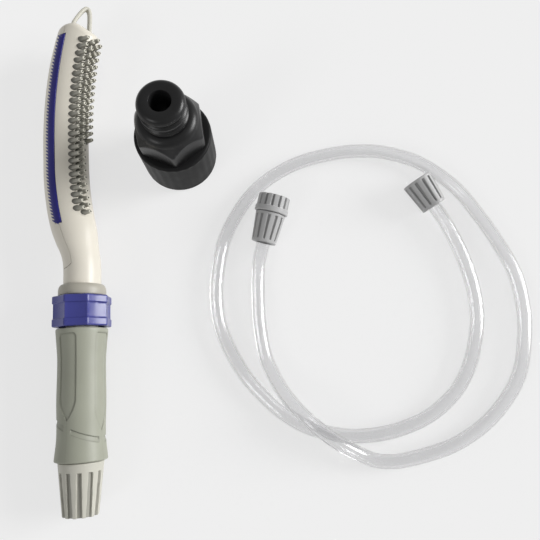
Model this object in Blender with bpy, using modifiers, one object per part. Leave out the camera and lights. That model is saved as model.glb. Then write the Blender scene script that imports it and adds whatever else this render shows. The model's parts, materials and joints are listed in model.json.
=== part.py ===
"""Handheld bath sprayer for dogs: a wand with a nub head, its clear hose and its tap adapter.

The wand lies on its grip's skirt and the back of its head, the hose lies in a loose loop beside it, and the
adapter stands on its swivel ring. Metres, +Z up. The origin is on the floor, under the middle of the wand and
the adapter. In the wand's own frame +Z runs from the inlet to the tip and +Y is the way the nubs point.
An angle is counted from +Y towards +X.
"""

import math

import bmesh
import bpy
from mathutils import Matrix, Vector

MM = 0.001
GAP = 0.3 * MM  # left between pieces that touch
TURN = 2 * math.pi
ROUND = 20  # sides of a round piece
INNER_ROUND = 16  # sides of a round piece that is closed in
FLOOR_GAP = 0.15 * MM

# Where each group lies, from a point near the middle of the whole layout
LAYOUT_MIDDLE = (-99.875 * MM, 18.58 * MM)  # the middle of the wand and the adapter: the origin
WAND_INLET = (-120.4 * MM, -162.5 * MM)
WAND_HEADING = math.radians(-2.65)  # from +Y towards +X
WAND_ROLL = math.radians(62.5)  # nubs turned from straight up towards +X
WAND_REST = 229 * MM  # the place along the wand where the head's back touches the floor
ADAPTER_AT = (-66.5 * MM, 86.2 * MM)
ADAPTER_TURN = math.radians(8.5)
TAP_END_AT = (-4.6 * MM, 17.9 * MM)
TAP_END_HEADING = math.radians(13.8)
WAND_END_AT = (117.7 * MM, 44.9 * MM)
WAND_END_HEADING = math.radians(-33.3)

# Grip
GRIP_START = 33.7 * MM
GRIP_END = 118.3 * MM
SKIRT_RADIUS = 16.95 * MM
WAIST_RADIUS = 15.5 * MM
BELLY_RADIUS = 15.75 * MM
LIP_RADIUS = 16.9 * MM
CORE_RADIUS = 12.4 * MM
CORE_BORE = 8.6 * MM
PATTERN_TURN = math.radians(36)  # the middle of the first slot, and a ridge of the collar
PANELS = 4
PANEL_DEPTH = 0.6 * MM
PANEL_TOP = 115.2 * MM
PANEL_TAPER = 15.0 * MM
PANEL_HALF = math.radians(23)
SLOT_HEIGHT = 3.6 * MM
SLOT_DEPTH = 1.2 * MM
SLOT_HALF = math.radians(35)
SLOT_MIDDLE = 53.2 * MM
SLOT_TILT = 6.6 * MM  # how much higher the ring of slots is on its high side
SLOT_HIGH_SIDE = math.radians(165)
TIP_OVER_SLOT = 5.3 * MM

# Flow valve and its collar
COLLAR_START = 119.4 * MM
COLLAR_LENGTH = 22.4 * MM
COLLAR_RIM_RADIUS = 19.6 * MM
COLLAR_RIM_LENGTH = 4.8 * MM
COLLAR_PANEL_DEPTH = 0.9 * MM
COLLAR_BORE = 14.9 * MM
COLLAR_SIDES = 8
BARREL_RADIUS = 10.4 * MM
BARREL_BORE = 6.6 * MM
BARREL_PLUG = 10.0 * MM
BARREL_SPIGOT = 11.0 * MM
VALVE_WEB = 1.8 * MM
ROTOR_LENGTH = 19.0 * MM
PORT_RADIUS = 2.0 * MM
PORT_OFFSET = 4.0 * MM  # from the middle of the valve, along the wand
SEAL_OFFSET = 8.0 * MM
SEAL_WIDTH = 1.5 * MM
KEY_HEIGHT = 1.5 * MM
CHANNEL_DEPTH = 1.9 * MM

# Neck and head
NECK_LENGTH = 5.6 * MM
NECK_RADIUS = 15.7 * MM
THROAT_RADIUS = 12.4 * MM
HEAD_RADIUS = 15.0 * MM
HEAD_WALL = 2.4 * MM
HEAD_END = 352.0 * MM
TIP_SLOPE = 14.0 * MM  # how much shorter the head is on the nub side
TIP_SLOPE_START = 318.0 * MM
TONGUE_END = 157.5 * MM  # where the rear shell's tongue ends on the throat
TONGUE_ROUND = 4.5 * MM
PARTING_HEIGHT = 2.4 * MM  # the parting line, towards the nubs from the head's middle
HEAD_BOW = (  # (place along the wand, how far the head's middle bows to the back)
    (158 * MM, 0.0 * MM),
    (164.6 * MM, 0.7 * MM),
    (170.4 * MM, 2.4 * MM),
    (177 * MM, 5.1 * MM),
    (187.4 * MM, 8.6 * MM),
    (201.7 * MM, 12.5 * MM),
    (221.4 * MM, 15.9 * MM),
    (240 * MM, 17.0 * MM),
    (260 * MM, 17.5 * MM),
    (281 * MM, 16.6 * MM),
    (307 * MM, 13.1 * MM),
    (331 * MM, 7.8 * MM),
    (352 * MM, 2.6 * MM),
)
HEAD_GROWTH = (  # (place along the wand, share of the way from the throat's radius to the head's)
    (162 * MM, 0.0),
    (170 * MM, 0.16),
    (177 * MM, 0.5),
    (187 * MM, 0.9),
    (200 * MM, 1.0),
)
HEAD_STATIONS = [s * MM for s in (158, 164, 170, 177, 187, 201, 218, 238, 260, 283, 304, 322, 338)]

# Combs along the parting lines
COMB_START = 190.0 * MM
COMB_END = 337.0 * MM
COMB_EDGE = math.radians(73.5)
COMB_ROOT = math.radians(90)
COMB_TIP = math.radians(103.5)
COMB_SLANT = 3.0 * MM
COMB_DEPTH = 1.2 * MM
COMB_PROUD = 0.5 * MM
COMB_TEETH = 60
SEAT_STEPS = 12

# Nub pad
NUB_PITCH = 5.06 * MM
NUB_COLUMN_GAP = 3.55 * MM
NUB_FIRST_COLUMN = 7.6 * MM
NUB_TOP_ROW = 327.2 * MM
NUB_COLUMNS = 4
NUB_ROWS = 15  # over the full width of the pad
NUB_TAIL_COLUMNS = 2
NUB_TAIL_ROWS = 11
NUB_HEIGHT = 6.9 * MM
NUB_ROOT_RADIUS = 1.75 * MM
NUB_TIP_RADIUS = 1.25 * MM
NUB_SIDES = 6
PAD_MARGIN = 2.9 * MM
PAD_FLANGE = 1.6 * MM
PAD_FLANGE_WALL = 1.2 * MM
CHANNEL_RADIUS = 6.3 * MM
CHANNEL_WALL = 1.4 * MM
CHANNEL_END = 330.0 * MM
CHANNEL_SIDES = 8

# Hanging loop
LOOP_PEAK = 362.5 * MM
LOOP_FOOT = 332.0 * MM
LOOP_HALF_SPAN = 7.6 * MM
LOOP_LEVEL = 5.6 * MM  # towards the nubs from the wand's axis
LOOP_WIDTH = 4.6 * MM
LOOP_THICKNESS = 1.2 * MM

# Inlet
INLET_NUT_LENGTH = 33.2 * MM
INLET_NUT_NARROW = 11.4 * MM
INLET_NUT_WIDE = 14.6 * MM
INLET_NUT_BAND = 5.6 * MM
INLET_MOUTH = 5.4 * MM
INLET_FLUTES = 12
INLET_FLUTE_DEPTH = 1.1 * MM
INLET_FLUTE_TURN = math.radians(50.5)
LIP_THICKNESS = 1.6 * MM
THREAD_RADIUS = 8.5 * MM
BARB_RADIUS = 3.5 * MM
BARB_START = 4.0 * MM
BARB_LENGTH = 13.0 * MM
BARB_RIDGES = 3
WATER_BORE = 2.2 * MM
TAILPIECE_END = 48.0 * MM
SCREEN_THICKNESS = 1.4 * MM

# Hose and its two ends
HOSE_RADIUS = 4.8 * MM
HOSE_STEP = 2.3 * 2 * HOSE_RADIUS
HOSE_REST = HOSE_RADIUS + FLOOR_GAP
HOSE_LEAD = 12.0 * MM
MOUTH_CLEARANCE = 0.9 * MM
NUT_FLUTES = 12
NUT_FLUTE_DEPTH = 0.9 * MM
NUT_BODY_RADIUS = 7.0 * MM
TAP_NUT_LENGTH = 21.4 * MM
TAP_NUT_NARROW = 8.75 * MM
TAP_NUT_WIDE = 10.6 * MM
TAP_SEAT = 11.0 * MM  # how deep the hose goes into the nut
SWIVEL_RADIUS = 11.85 * MM
SWIVEL_BAND = 3.2 * MM
SWIVEL_CROWN = 6.8 * MM
SWIVEL_CROWN_RADIUS = 11.2 * MM
SWIVEL_FLUTES = 14
SWIVEL_BORE = 9.4 * MM
WAND_NUT_LENGTH = 22.4 * MM
WAND_NUT_NARROW = 8.9 * MM
WAND_NUT_WIDE = 10.9 * MM
WAND_SEAT = 9.0 * MM
WASHER_THICKNESS = 1.8 * MM
FLANGE_THICKNESS = 1.8 * MM

# Tap adapter
ADAPTER_HEIGHT = 88.0 * MM
NOSE_RADIUS = 16.6 * MM
NOSE_NECK = 15.3 * MM
NOSE_RIM = 13.6 * MM
NOSE_BORE = 7.1 * MM
NOSE_RIDGES = 3
NOSE_RIDGE_PITCH = 4.6 * MM
DOME_HEIGHT = 11.5 * MM
HEX_APOTHEM = 24.6 * MM
HEX_CORNER = 27.6 * MM
HEX_HEIGHT = 22.0 * MM
HEX_CHAMFER = 4.0 * MM
RING_RADIUS = 29.6 * MM
RING_HEIGHT = 38.0 * MM
RING_RIBS = 26
RIB_DEPTH = 0.7 * MM
RING_SHOULDER = 6.2 * MM
SOCKET_RADIUS = 25.4 * MM
SOCKET_NECK = 21.4 * MM
SOCKET_FLANGE = 3.5 * MM

# The hose's middle line between its two ends, from the tap end to the wand end, with how far it is lifted.
# It climbs over its own return run in a long low hump.
HOSE_ROUTE = (
    (-8.4, -8.0, 0.6),
    (-8.2, -22.5, 0.0),
    (-7.2, -38.6, 0.0),
    (-3.9, -58.7, 0.3),
    (1.0, -71.5, 1.0),
    (6.6, -82.0, 2.7),
    (12.6, -90.4, 5.4),
    (18.7, -97.6, 8.3),
    (24.6, -103.3, 10.2),
    (31.4, -108.9, 10.7),
    (39.6, -115.0, 10.0),
    (48.9, -120.8, 7.8),
    (56.4, -124.6, 5.0),
    (64.3, -128.1, 2.4),
    (73.2, -130.7, 0.8),
    (90.4, -130.0, 0.0),
    (121.5, -121.0, 0.0),
    (145.4, -106.1, 0.0),
    (162.4, -87.7, 0.0),
    (171.8, -70.2, 0.0),
    (176.6, -46.3, 0.0),
    (177.1, -26.0, 0.0),
    (173.3, -3.5, 0.0),
    (162.8, 19.0, 0.0),
    (148.8, 41.9, 0.0),
    (133.5, 61.7, 0.0),
    (109.4, 79.5, 0.0),
    (83.8, 87.6, 0.0),
    (66.3, 88.6, 0.0),
    (50.0, 87.2, 0.0),
    (24.5, 80.8, 0.0),
    (3.2, 69.9, 0.0),
    (-13.9, 54.8, 0.0),
    (-26.0, 36.2, 0.0),
    (-33.6, 17.4, 0.0),
    (-37.3, -7.5, 0.0),
    (-37.0, -26.0, 0.0),
    (-34.2, -41.0, 0.0),
    (-27.7, -56.6, 0.0),
    (-16.5, -75.0, 0.0),
    (-0.7, -91.7, 0.0),
    (12.7, -102.3, 0.0),
    (27.5, -109.6, 0.0),
    (44.0, -113.5, 0.0),
    (60.3, -114.6, 0.0),
    (83.5, -111.3, 0.0),
    (107.2, -101.6, 0.0),
    (126.0, -85.7, 0.0),
    (137.4, -66.2, 0.0),
    (143.6, -42.8, 0.0),
    (144.4, -26.0, 0.0),
    (142.2, -9.0, 0.0),
    (137.0, 9.0, 0.5),
    (131.0, 22.6, 1.5),
)


# ---------------------------------------------------------------- scene and material


def clear_scene():
    for thing in list(bpy.data.objects):
        bpy.data.objects.remove(thing, do_unlink=True)


def new_collection(name):
    collection = bpy.data.collections.new(name)
    bpy.context.scene.collection.children.link(collection)
    return collection


def surface(name, colour, roughness, transmission=0.0):
    made = bpy.data.materials.new(name)
    made.use_nodes = True
    shader = made.node_tree.nodes["Principled BSDF"]
    shader.inputs["Base Color"].default_value = (*colour, 1.0)
    shader.inputs["Roughness"].default_value = roughness
    shader.inputs["Metallic"].default_value = 0.0
    shader.inputs["Transmission Weight"].default_value = transmission
    made.diffuse_color = (*colour, 1.0)
    return made


clear_scene()
parts = new_collection("bath_sprayer")
cutters = new_collection("cutters")
CREAM = surface("cream shell", (0.64, 0.60, 0.52), 0.45)
SAGE = surface("sage grip", (0.25, 0.25, 0.20), 0.65)
STONE = surface("stone ring", (0.33, 0.31, 0.26), 0.5)
NAVY = surface("navy comb", (0.012, 0.010, 0.19), 0.35)
BLUE = surface("blue collar", (0.045, 0.048, 0.28), 0.3)
NUB_GREY = surface("grey nubs", (0.30, 0.29, 0.25), 0.6)
NUT_BEIGE = surface("beige nut", (0.40, 0.39, 0.33), 0.5)
NUT_GREY = surface("grey nut", (0.42, 0.42, 0.42), 0.45)
CLEAR = surface("clear hose", (0.92, 0.92, 0.92), 0.08, 0.9)
BLACK = surface("black adapter", (0.025, 0.025, 0.025), 0.4)
SEAL_RUBBER = surface("seal rubber", (0.03, 0.03, 0.03), 0.8)
INNER_WHITE = surface("inner plastic", (0.75, 0.75, 0.73), 0.4)


def frame_at(name, matrix):
    """An empty that a group of pieces hangs on."""
    empty = bpy.data.objects.new(name, None)
    parts.objects.link(empty)
    empty.matrix_world = matrix
    return empty


def add_part(name, mesh, finish, parent):
    """A named piece with its own copy of the finish."""
    piece = bpy.data.objects.new(name, mesh)
    parts.objects.link(piece)
    piece.parent = parent
    own = finish.copy()
    own.name = name
    mesh.materials.append(own)
    mesh.shade_smooth()
    mesh.set_sharp_from_angle(angle=math.radians(35))
    return piece


def add_cutter(name, mesh, parent):
    tool = bpy.data.objects.new(name, mesh)
    cutters.objects.link(tool)
    tool.parent = parent
    tool.hide_render = True
    tool.display_type = "WIRE"
    return tool


def combine(piece, tool, operation="DIFFERENCE"):
    modifier = piece.modifiers.new(tool.name, "BOOLEAN")
    modifier.operation = operation
    modifier.solver = "EXACT"
    modifier.object = tool


# ---------------------------------------------------------------- shapes


def around(radius, angle, height, middle=0.0):
    """A point at an angle about a line that is shifted along Y."""
    return Vector((radius * math.sin(angle), middle + radius * math.cos(angle), height))


def blend(a, b, share):
    return a + (b - a) * share


def smooth_value(stations, at):
    """The value of a smooth curve through (place, value) stations."""
    if at <= stations[0][0]:
        return stations[0][1]
    for i in range(len(stations) - 1):
        (x0, y0), (x1, y1) = stations[i], stations[i + 1]
        if at <= x1:
            before = stations[max(i - 1, 0)]
            after = stations[min(i + 2, len(stations) - 1)]
            slope0 = (y1 - before[1]) / (x1 - before[0])
            slope1 = (after[1] - y0) / (after[0] - x0)
            span = x1 - x0
            t = (at - x0) / span
            start = y0 * (1 + 2 * t) * (1 - t) ** 2 + span * slope0 * t * (1 - t) ** 2
            return start + y1 * t * t * (3 - 2 * t) + span * slope1 * t * t * (t - 1)
    return stations[-1][1]


def smooth_path(route, step):
    """Points about a step apart on a smooth curve through the route's points."""
    fine = []
    for i in range(len(route) - 1):
        before, here = route[max(i - 1, 0)], route[i]
        there, after = route[i + 1], route[min(i + 2, len(route) - 1)]
        for k in range(12):
            t = k / 12
            bend = (2 * before - 5 * here + 4 * there - after) * t * t
            twist = (3 * here - before - 3 * there + after) * t**3
            fine.append(0.5 * (2 * here + (there - before) * t + bend + twist))
    fine.append(route[-1])
    travelled = [0.0]
    for a, b in zip(fine, fine[1:]):
        travelled.append(travelled[-1] + (b - a).length)
    count = round(travelled[-1] / step)
    points, j = [], 0
    for i in range(count + 1):
        target = travelled[-1] * i / count
        while j < len(fine) - 2 and travelled[j + 1] < target:
            j += 1
        share = (target - travelled[j]) / (travelled[j + 1] - travelled[j])
        points.append(blend(fine[j], fine[j + 1], share))
    return points


def turned(name, outline, finish, parent, steps=ROUND, closed=True):
    """A ring turned about Z from a closed (radius, height) outline, or a solid whose outline ends on the axis."""
    points = [Vector(p) for p in outline]
    area = sum(a.x * b.y - b.x * a.y for a, b in zip(points, points[1:] + points[:1]))
    if area > 0:
        points.reverse()
    edges = [(i, i + 1) for i in range(len(points) - 1)]
    if closed:
        edges.append((len(points) - 1, 0))
    mesh = bpy.data.meshes.new(name)
    mesh.from_pydata([(p.x, 0, p.y) for p in points], edges, [])
    piece = add_part(name, mesh, finish, parent)
    screw = piece.modifiers.new("turn", "SCREW")
    screw.steps = steps
    screw.render_steps = steps
    screw.use_merge_vertices = True
    screw.merge_threshold = 0.01 * MM
    screw.use_smooth_shade = True
    return piece


def band(inner, outer, low, high):
    """The outline of a plain ring."""
    return [(inner, low), (outer, low), (outer, high), (inner, high)]


def skin(bm, rings):
    for low, high in zip(rings, rings[1:]):
        for i in range(len(low)):
            j = (i + 1) % len(low)
            bm.faces.new((low[i], low[j], high[j], high[i]))


def lay_rings(bm, sections):
    rings = [[bm.verts.new(p) for p in section] for section in sections]
    skin(bm, rings)
    return rings


def loft(bm, sections):
    """Joins like sections, and closes both ends."""
    rings = lay_rings(bm, sections)
    bm.faces.new(rings[0])
    bm.faces.new(rings[-1])


def mesh_from(bm, name):
    bmesh.ops.recalc_face_normals(bm, faces=bm.faces)
    mesh = bpy.data.meshes.new(name)
    bm.to_mesh(mesh)
    bm.free()
    return mesh


def lofted(name, sections):
    bm = bmesh.new()
    loft(bm, sections)
    return mesh_from(bm, name)


def tube(name, outer, inner, finish, parent):
    """A hollow piece from its outer and inner sections, which all have as many points."""
    bm = bmesh.new()
    outside, inside = lay_rings(bm, outer), lay_rings(bm, inner)
    skin(bm, [outside[0], inside[0]])
    skin(bm, [outside[-1], inside[-1]])
    return add_part(name, mesh_from(bm, name), finish, parent)


def ring_section(radius, height, count=ROUND, middle=0.0):
    return [around(radius, TURN * i / count, height, middle) for i in range(count)]


def strip_section(inner, outer, start, end, height, count, middle=0.0):
    """The outline of a curved strip between two radii and two angles."""
    angles = [blend(start, end, i / count) for i in range(count + 1)]
    outside = [around(outer, a, height, middle) for a in angles]
    return outside + [around(inner, a, height, middle) for a in reversed(angles)]


def fluted_section(height, radius, depth, share, count, turn=0.0, flat=True):
    """A round section with grooves that each take a share of their pitch."""
    half = share * TURN / count / 2
    across = (-1.0, -0.6, 0.6, 1.0) if flat else (-1.0, 0.0, 1.0)
    points = []
    for i in range(count):
        for offset in across:
            size = radius if abs(offset) == 1.0 else radius - depth
            points.append(around(size, turn + TURN * i / count + offset * half, height))
    return points


# ---------------------------------------------------------------- the head's line and size


def head_middle(height):
    return -smooth_value(HEAD_BOW, height)


def head_radius(height):
    swell = HEAD_RADIUS - THROAT_RADIUS
    growth = smooth_value(HEAD_GROWTH, height)
    taper = smooth_value(((HEAD_END - 42 * MM, 0.0), (HEAD_END - 20 * MM, 0.4 * MM), (HEAD_END, 1.2 * MM)), height)
    return THROAT_RADIUS + swell * growth - taper


def tip_drop(height, depth):
    """How far the end slopes back on the nub side, by the depth towards the nubs from the head's middle."""
    share = min(max((height - TIP_SLOPE_START) / (HEAD_END - TIP_SLOPE_START), 0.0), 1.0)
    across = min(max((depth + HEAD_RADIUS / 3) / (HEAD_RADIUS * 1.27), 0.0), 1.0)
    return TIP_SLOPE * share * across * across * (3 - 2 * across)


def head_solid(name, inset, start):
    """The head's outer form, or its hollow when it is inset by the wall."""

    def section(height, radius):
        points = ring_section(radius, height, ROUND, head_middle(height))
        for point in points:
            point.z -= tip_drop(height, point.y - head_middle(height))
        return points

    sections = [section(height, head_radius(height) - inset) for height in [start, *HEAD_STATIONS]]
    top = HEAD_END - inset
    for below, share in ((5.0 * MM, 1.0), (2.0 * MM, 0.95), (0.5 * MM, 0.84), (0.0, 0.68)):
        sections.append(section(top - below, (head_radius(top) - inset) * share))
    return lofted(name, sections)


def parting(height):
    """How far towards the nubs the parting surface lies at this height."""
    level = head_middle(height) + PARTING_HEIGHT
    share = min(max((height - TONGUE_END) / TONGUE_ROUND, 0.0), 1.0)
    return blend(-THROAT_RADIUS - 2 * MM, level, math.sqrt(1 - (1 - share) ** 2))


def block_section(low, high, height):
    wide = 2 * HEAD_RADIUS
    corners = ((-wide, low), (wide, low), (wide, high), (-wide, high))
    return [Vector((x, y, height)) for x, y in corners]


def parting_block(name, parent, rear, shift):
    """A block that holds all that lies behind the parting surface, or all that lies in front of it."""
    deep = 3 * HEAD_RADIUS
    heights = [TONGUE_END + TONGUE_ROUND * k / 5 for k in range(6)]
    heights += [s for s in HEAD_STATIONS if s > heights[-1] + 2 * MM] + [HEAD_END + 20 * MM]
    sections = []
    if not rear:
        first = TONGUE_END + shift
        sections.append(block_section(-deep, deep, first - 30 * MM))
        sections.append(block_section(-deep, deep, first - 0.01 * MM))
    for height in heights:
        level = parting(height) - (0 if rear else shift)
        low, high = (-deep, level) if rear else (level, deep)
        sections.append(block_section(low, high, height if rear else height + shift))
    return add_cutter(name, lofted(name, sections), parent)


# ---------------------------------------------------------------- grip


def grip_radius(height):
    stations = (
        (GRIP_START, SKIRT_RADIUS),
        (GRIP_START + 15 * MM, WAIST_RADIUS),
        (GRIP_START + 38 * MM, BELLY_RADIUS),
        (GRIP_END - 21 * MM, WAIST_RADIUS),
        (GRIP_END - 11 * MM, blend(WAIST_RADIUS, LIP_RADIUS, 0.45)),
        (GRIP_END - 2 * MM, LIP_RADIUS),
    )
    return smooth_value(stations, height)


def slot_lift(angle):
    return SLOT_TILT * math.cos(angle - SLOT_HIGH_SIDE)


def grip_section(height):
    """The sleeve's outline: between two panels it is round, and over a panel it is sunk."""
    edge = math.radians(1.6)
    points = []
    for k in range(PANELS):
        middle = PATTERN_TURN + TURN * (k + 0.5) / PANELS
        tip = SLOT_MIDDLE + TIP_OVER_SLOT + slot_lift(middle)
        share = min(max((height - tip) / PANEL_TAPER, 0.0), 1.0)
        top = min(max((PANEL_TOP - height) / (2.5 * MM), 0.0), 1.0)
        half = PANEL_HALF * max(0.1, math.sin(share * math.pi / 2)) * (0.6 + 0.4 * math.sqrt(top))
        depth = PANEL_DEPTH * min(1.0, share * 6, top * 3)
        radius = grip_radius(height)
        between = TURN / PANELS / 2 - half
        for offset, sunk in ((-half, 0), (edge - half, 1), (0, 1), (half - edge, 1), (half, 0)):
            points.append(around(radius - depth * sunk, middle + offset, height))
        for n in range(1, 5):
            points.append(around(radius, middle + half + 2 * between * n / 5, height))
    return points


def slot_cutter(parent):
    """The ring of slots round the grip's lower end: it rises to one side."""
    bm = bmesh.new()
    for k in range(PANELS):
        middle = PATTERN_TURN + TURN * k / PANELS
        sections = []
        for level, share in ((-0.5, 0.93), (-0.25, 1.0), (0.25, 1.0), (0.5, 0.93)):
            half = SLOT_HALF * share
            height = SLOT_MIDDLE + level * SLOT_HEIGHT
            inner = WAIST_RADIUS - SLOT_DEPTH
            points = strip_section(inner, WAIST_RADIUS + 3 * MM, middle - half, middle + half, height, 5)
            for point in points:
                point.z += slot_lift(math.atan2(point.x, point.y))
            sections.append(points)
        loft(bm, sections)
    return add_cutter("slot cutter", mesh_from(bm, "slot cutter"), parent)


def make_grip(wand):
    turned("grip_core", band(CORE_BORE, CORE_RADIUS, GRIP_START + 2.3 * MM, GRIP_END), SAGE, wand)
    heights = [GRIP_START, GRIP_START + 1 * MM]
    low, high = GRIP_START + 13.3 * MM, GRIP_END - 11.3 * MM
    heights += [blend(low, high, share) for share in (0, 0.083, 0.167, 0.25, 0.333, 0.433, 0.617, 0.85, 1)]
    heights += [PANEL_TOP - 2.5 * MM, PANEL_TOP, GRIP_END - 0.8 * MM, GRIP_END]
    outer = [grip_section(height) for height in heights]
    for section, rounding in ((outer[0], 0.6 * MM), (outer[-1], 0.8 * MM)):
        for point in section:
            flat = Vector((point.x, point.y, 0))
            point -= flat.normalized() * rounding
    inner = []
    for section in (outer[0], outer[-1]):
        angles = [math.atan2(p.x, p.y) for p in section]
        inner.append([around(CORE_RADIUS + 1.5 * GAP, a, section[0].z) for a in angles])
    sleeve = tube("grip_sleeve", outer, inner, SAGE, wand)
    combine(sleeve, slot_cutter(wand))


# ---------------------------------------------------------------- valve


def collar_section(height, radius, sunk):
    """An eight-sided section with hollowed sides; the ridges keep the full radius."""
    points = []
    for k in range(COLLAR_SIDES * 4):
        angle = PATTERN_TURN + TURN * k / (COLLAR_SIDES * 4)
        off = (TURN / COLLAR_SIDES) * (abs(k % 4 - 2) / 4)
        flat = radius * math.cos(math.pi / COLLAR_SIDES) / math.cos(off)
        hollow = (0.0, 0.25 * MM, 0.4 * MM, 0.25 * MM)[k % 4]
        points.append(around(flat - hollow - sunk, angle, height))
    return points


def keyed_section(height, radius, keyed):
    """A round section, raised at the four keys when it is keyed."""
    count = COLLAR_SIDES * 4
    points = []
    for k in range(count):
        raised = KEY_HEIGHT if keyed and k % 8 in (0, 1) else 0.0
        points.append(around(radius + raised, PATTERN_TURN + TURN * k / count, height))
    return points


def channel_section(height, radius, deep):
    """The rotor's bore, widened where its two channels run past both rows of ports."""
    count = COLLAR_SIDES * 4
    points = []
    for k in range(count):
        sunk = CHANNEL_DEPTH if deep and k % 16 in (12, 13, 14) else 0.0
        points.append(around(radius + sunk, PATTERN_TURN + TURN * k / count, height))
    return points


def make_collar(wand):
    low, high = COLLAR_START, COLLAR_START + COLLAR_LENGTH
    rim, rise = COLLAR_RIM_LENGTH, 0.9 * MM
    outer = [
        collar_section(low, COLLAR_RIM_RADIUS - 0.9 * MM, 0.0),
        collar_section(low + rise, COLLAR_RIM_RADIUS, 0.0),
        collar_section(low + rim, COLLAR_RIM_RADIUS, 0.0),
        collar_section(low + rim + rise, COLLAR_RIM_RADIUS, COLLAR_PANEL_DEPTH),
        collar_section(high - rim - rise, COLLAR_RIM_RADIUS, COLLAR_PANEL_DEPTH),
        collar_section(high - rim, COLLAR_RIM_RADIUS, 0.0),
        collar_section(high - rise, COLLAR_RIM_RADIUS, 0.0),
        collar_section(high, COLLAR_RIM_RADIUS - 0.9 * MM, 0.0),
    ]
    inner = [keyed_section(low, COLLAR_BORE, True), keyed_section(high, COLLAR_BORE, True)]
    tube("flow_collar", outer, inner, BLUE, wand)

    middle = COLLAR_START + COLLAR_LENGTH / 2
    bottom, top = middle - ROTOR_LENGTH / 2, middle + ROTOR_LENGTH / 2
    reach = PORT_OFFSET + PORT_RADIUS + 0.4 * MM
    bore = BARREL_RADIUS + GAP
    outer = [keyed_section(h, COLLAR_BORE - 1.3 * GAP, True) for h in (bottom, top)]
    inner = [
        channel_section(bottom, bore, False),
        channel_section(middle - reach - 0.2 * MM, bore, False),
        channel_section(middle - reach, bore, True),
        channel_section(middle + reach, bore, True),
        channel_section(middle + reach + 0.2 * MM, bore, False),
        channel_section(top, bore, False),
    ]
    tube("valve_rotor", outer, inner, INNER_WHITE, wand)


def make_barrel(wand):
    middle = COLLAR_START + COLLAR_LENGTH / 2
    neck = COLLAR_START + COLLAR_LENGTH + 0.4 * MM
    groove = SEAL_WIDTH / 2 + GAP
    floor = BARREL_RADIUS - SEAL_WIDTH
    plug, spigot = CORE_BORE - GAP, THROAT_RADIUS - HEAD_WALL - GAP
    outline = [
        (0, middle - VALVE_WEB / 2),
        (BARREL_BORE, middle - VALVE_WEB / 2),
        (BARREL_BORE, GRIP_END - BARREL_PLUG),
        (plug, GRIP_END - BARREL_PLUG),
        (plug, GRIP_END + GAP),
        (BARREL_RADIUS, GRIP_END + GAP),
    ]
    for side in (-1, 1):
        at = middle + side * SEAL_OFFSET
        outline += [(BARREL_RADIUS, at - groove), (floor, at - groove)]
        outline += [(floor, at + groove), (BARREL_RADIUS, at + groove)]
    outline += [
        (BARREL_RADIUS, neck),
        (spigot, neck),
        (spigot, neck + BARREL_SPIGOT),
        (BARREL_BORE, neck + BARREL_SPIGOT),
        (BARREL_BORE, middle + VALVE_WEB / 2),
        (0, middle + VALVE_WEB / 2),
    ]
    barrel = turned("valve_barrel", outline, INNER_WHITE, wand, INNER_ROUND, closed=False)
    bm = bmesh.new()
    for side in (-1, 1):
        made = bmesh.ops.create_cone(
            bm, cap_ends=True, segments=8, radius1=PORT_RADIUS, radius2=PORT_RADIUS, depth=3 * BARREL_RADIUS
        )
        bmesh.ops.rotate(bm, verts=made["verts"], matrix=Matrix.Rotation(TURN / 4, 3, "Y"))
        bmesh.ops.translate(bm, verts=made["verts"], vec=(0, 0, middle + side * PORT_OFFSET))
    combine(barrel, add_cutter("port cutter", mesh_from(bm, "port cutter"), wand))
    for name, side in (("valve_seal_lower", -1), ("valve_seal_upper", 1)):
        at = middle + side * SEAL_OFFSET
        ring = band(floor + GAP, BARREL_RADIUS, at - SEAL_WIDTH / 2, at + SEAL_WIDTH / 2)
        turned(name, ring, SEAL_RUBBER, wand, INNER_ROUND)


def make_neck_ring(wand):
    low = COLLAR_START + COLLAR_LENGTH + 0.4 * MM
    bore = THROAT_RADIUS + GAP
    outline = [(bore, low), (NECK_RADIUS - 0.5 * MM, low), (NECK_RADIUS, low + 0.6 * MM)]
    straight = NECK_LENGTH * 0.4
    for k in range(5):
        angle = TURN / 4 * k / 4
        reach = NECK_RADIUS - bore - 0.7 * MM
        outline.append(
            (
                bore + 0.7 * MM + reach * math.cos(angle),
                low + straight + (NECK_LENGTH - straight) * math.sin(angle),
            )
        )
    outline.append((bore, low + NECK_LENGTH))
    turned("neck_ring", outline, STONE, wand)


# ---------------------------------------------------------------- head


def comb_point(along, angle, radius):
    return around(radius + head_radius(along), angle, along, head_middle(along))


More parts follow.
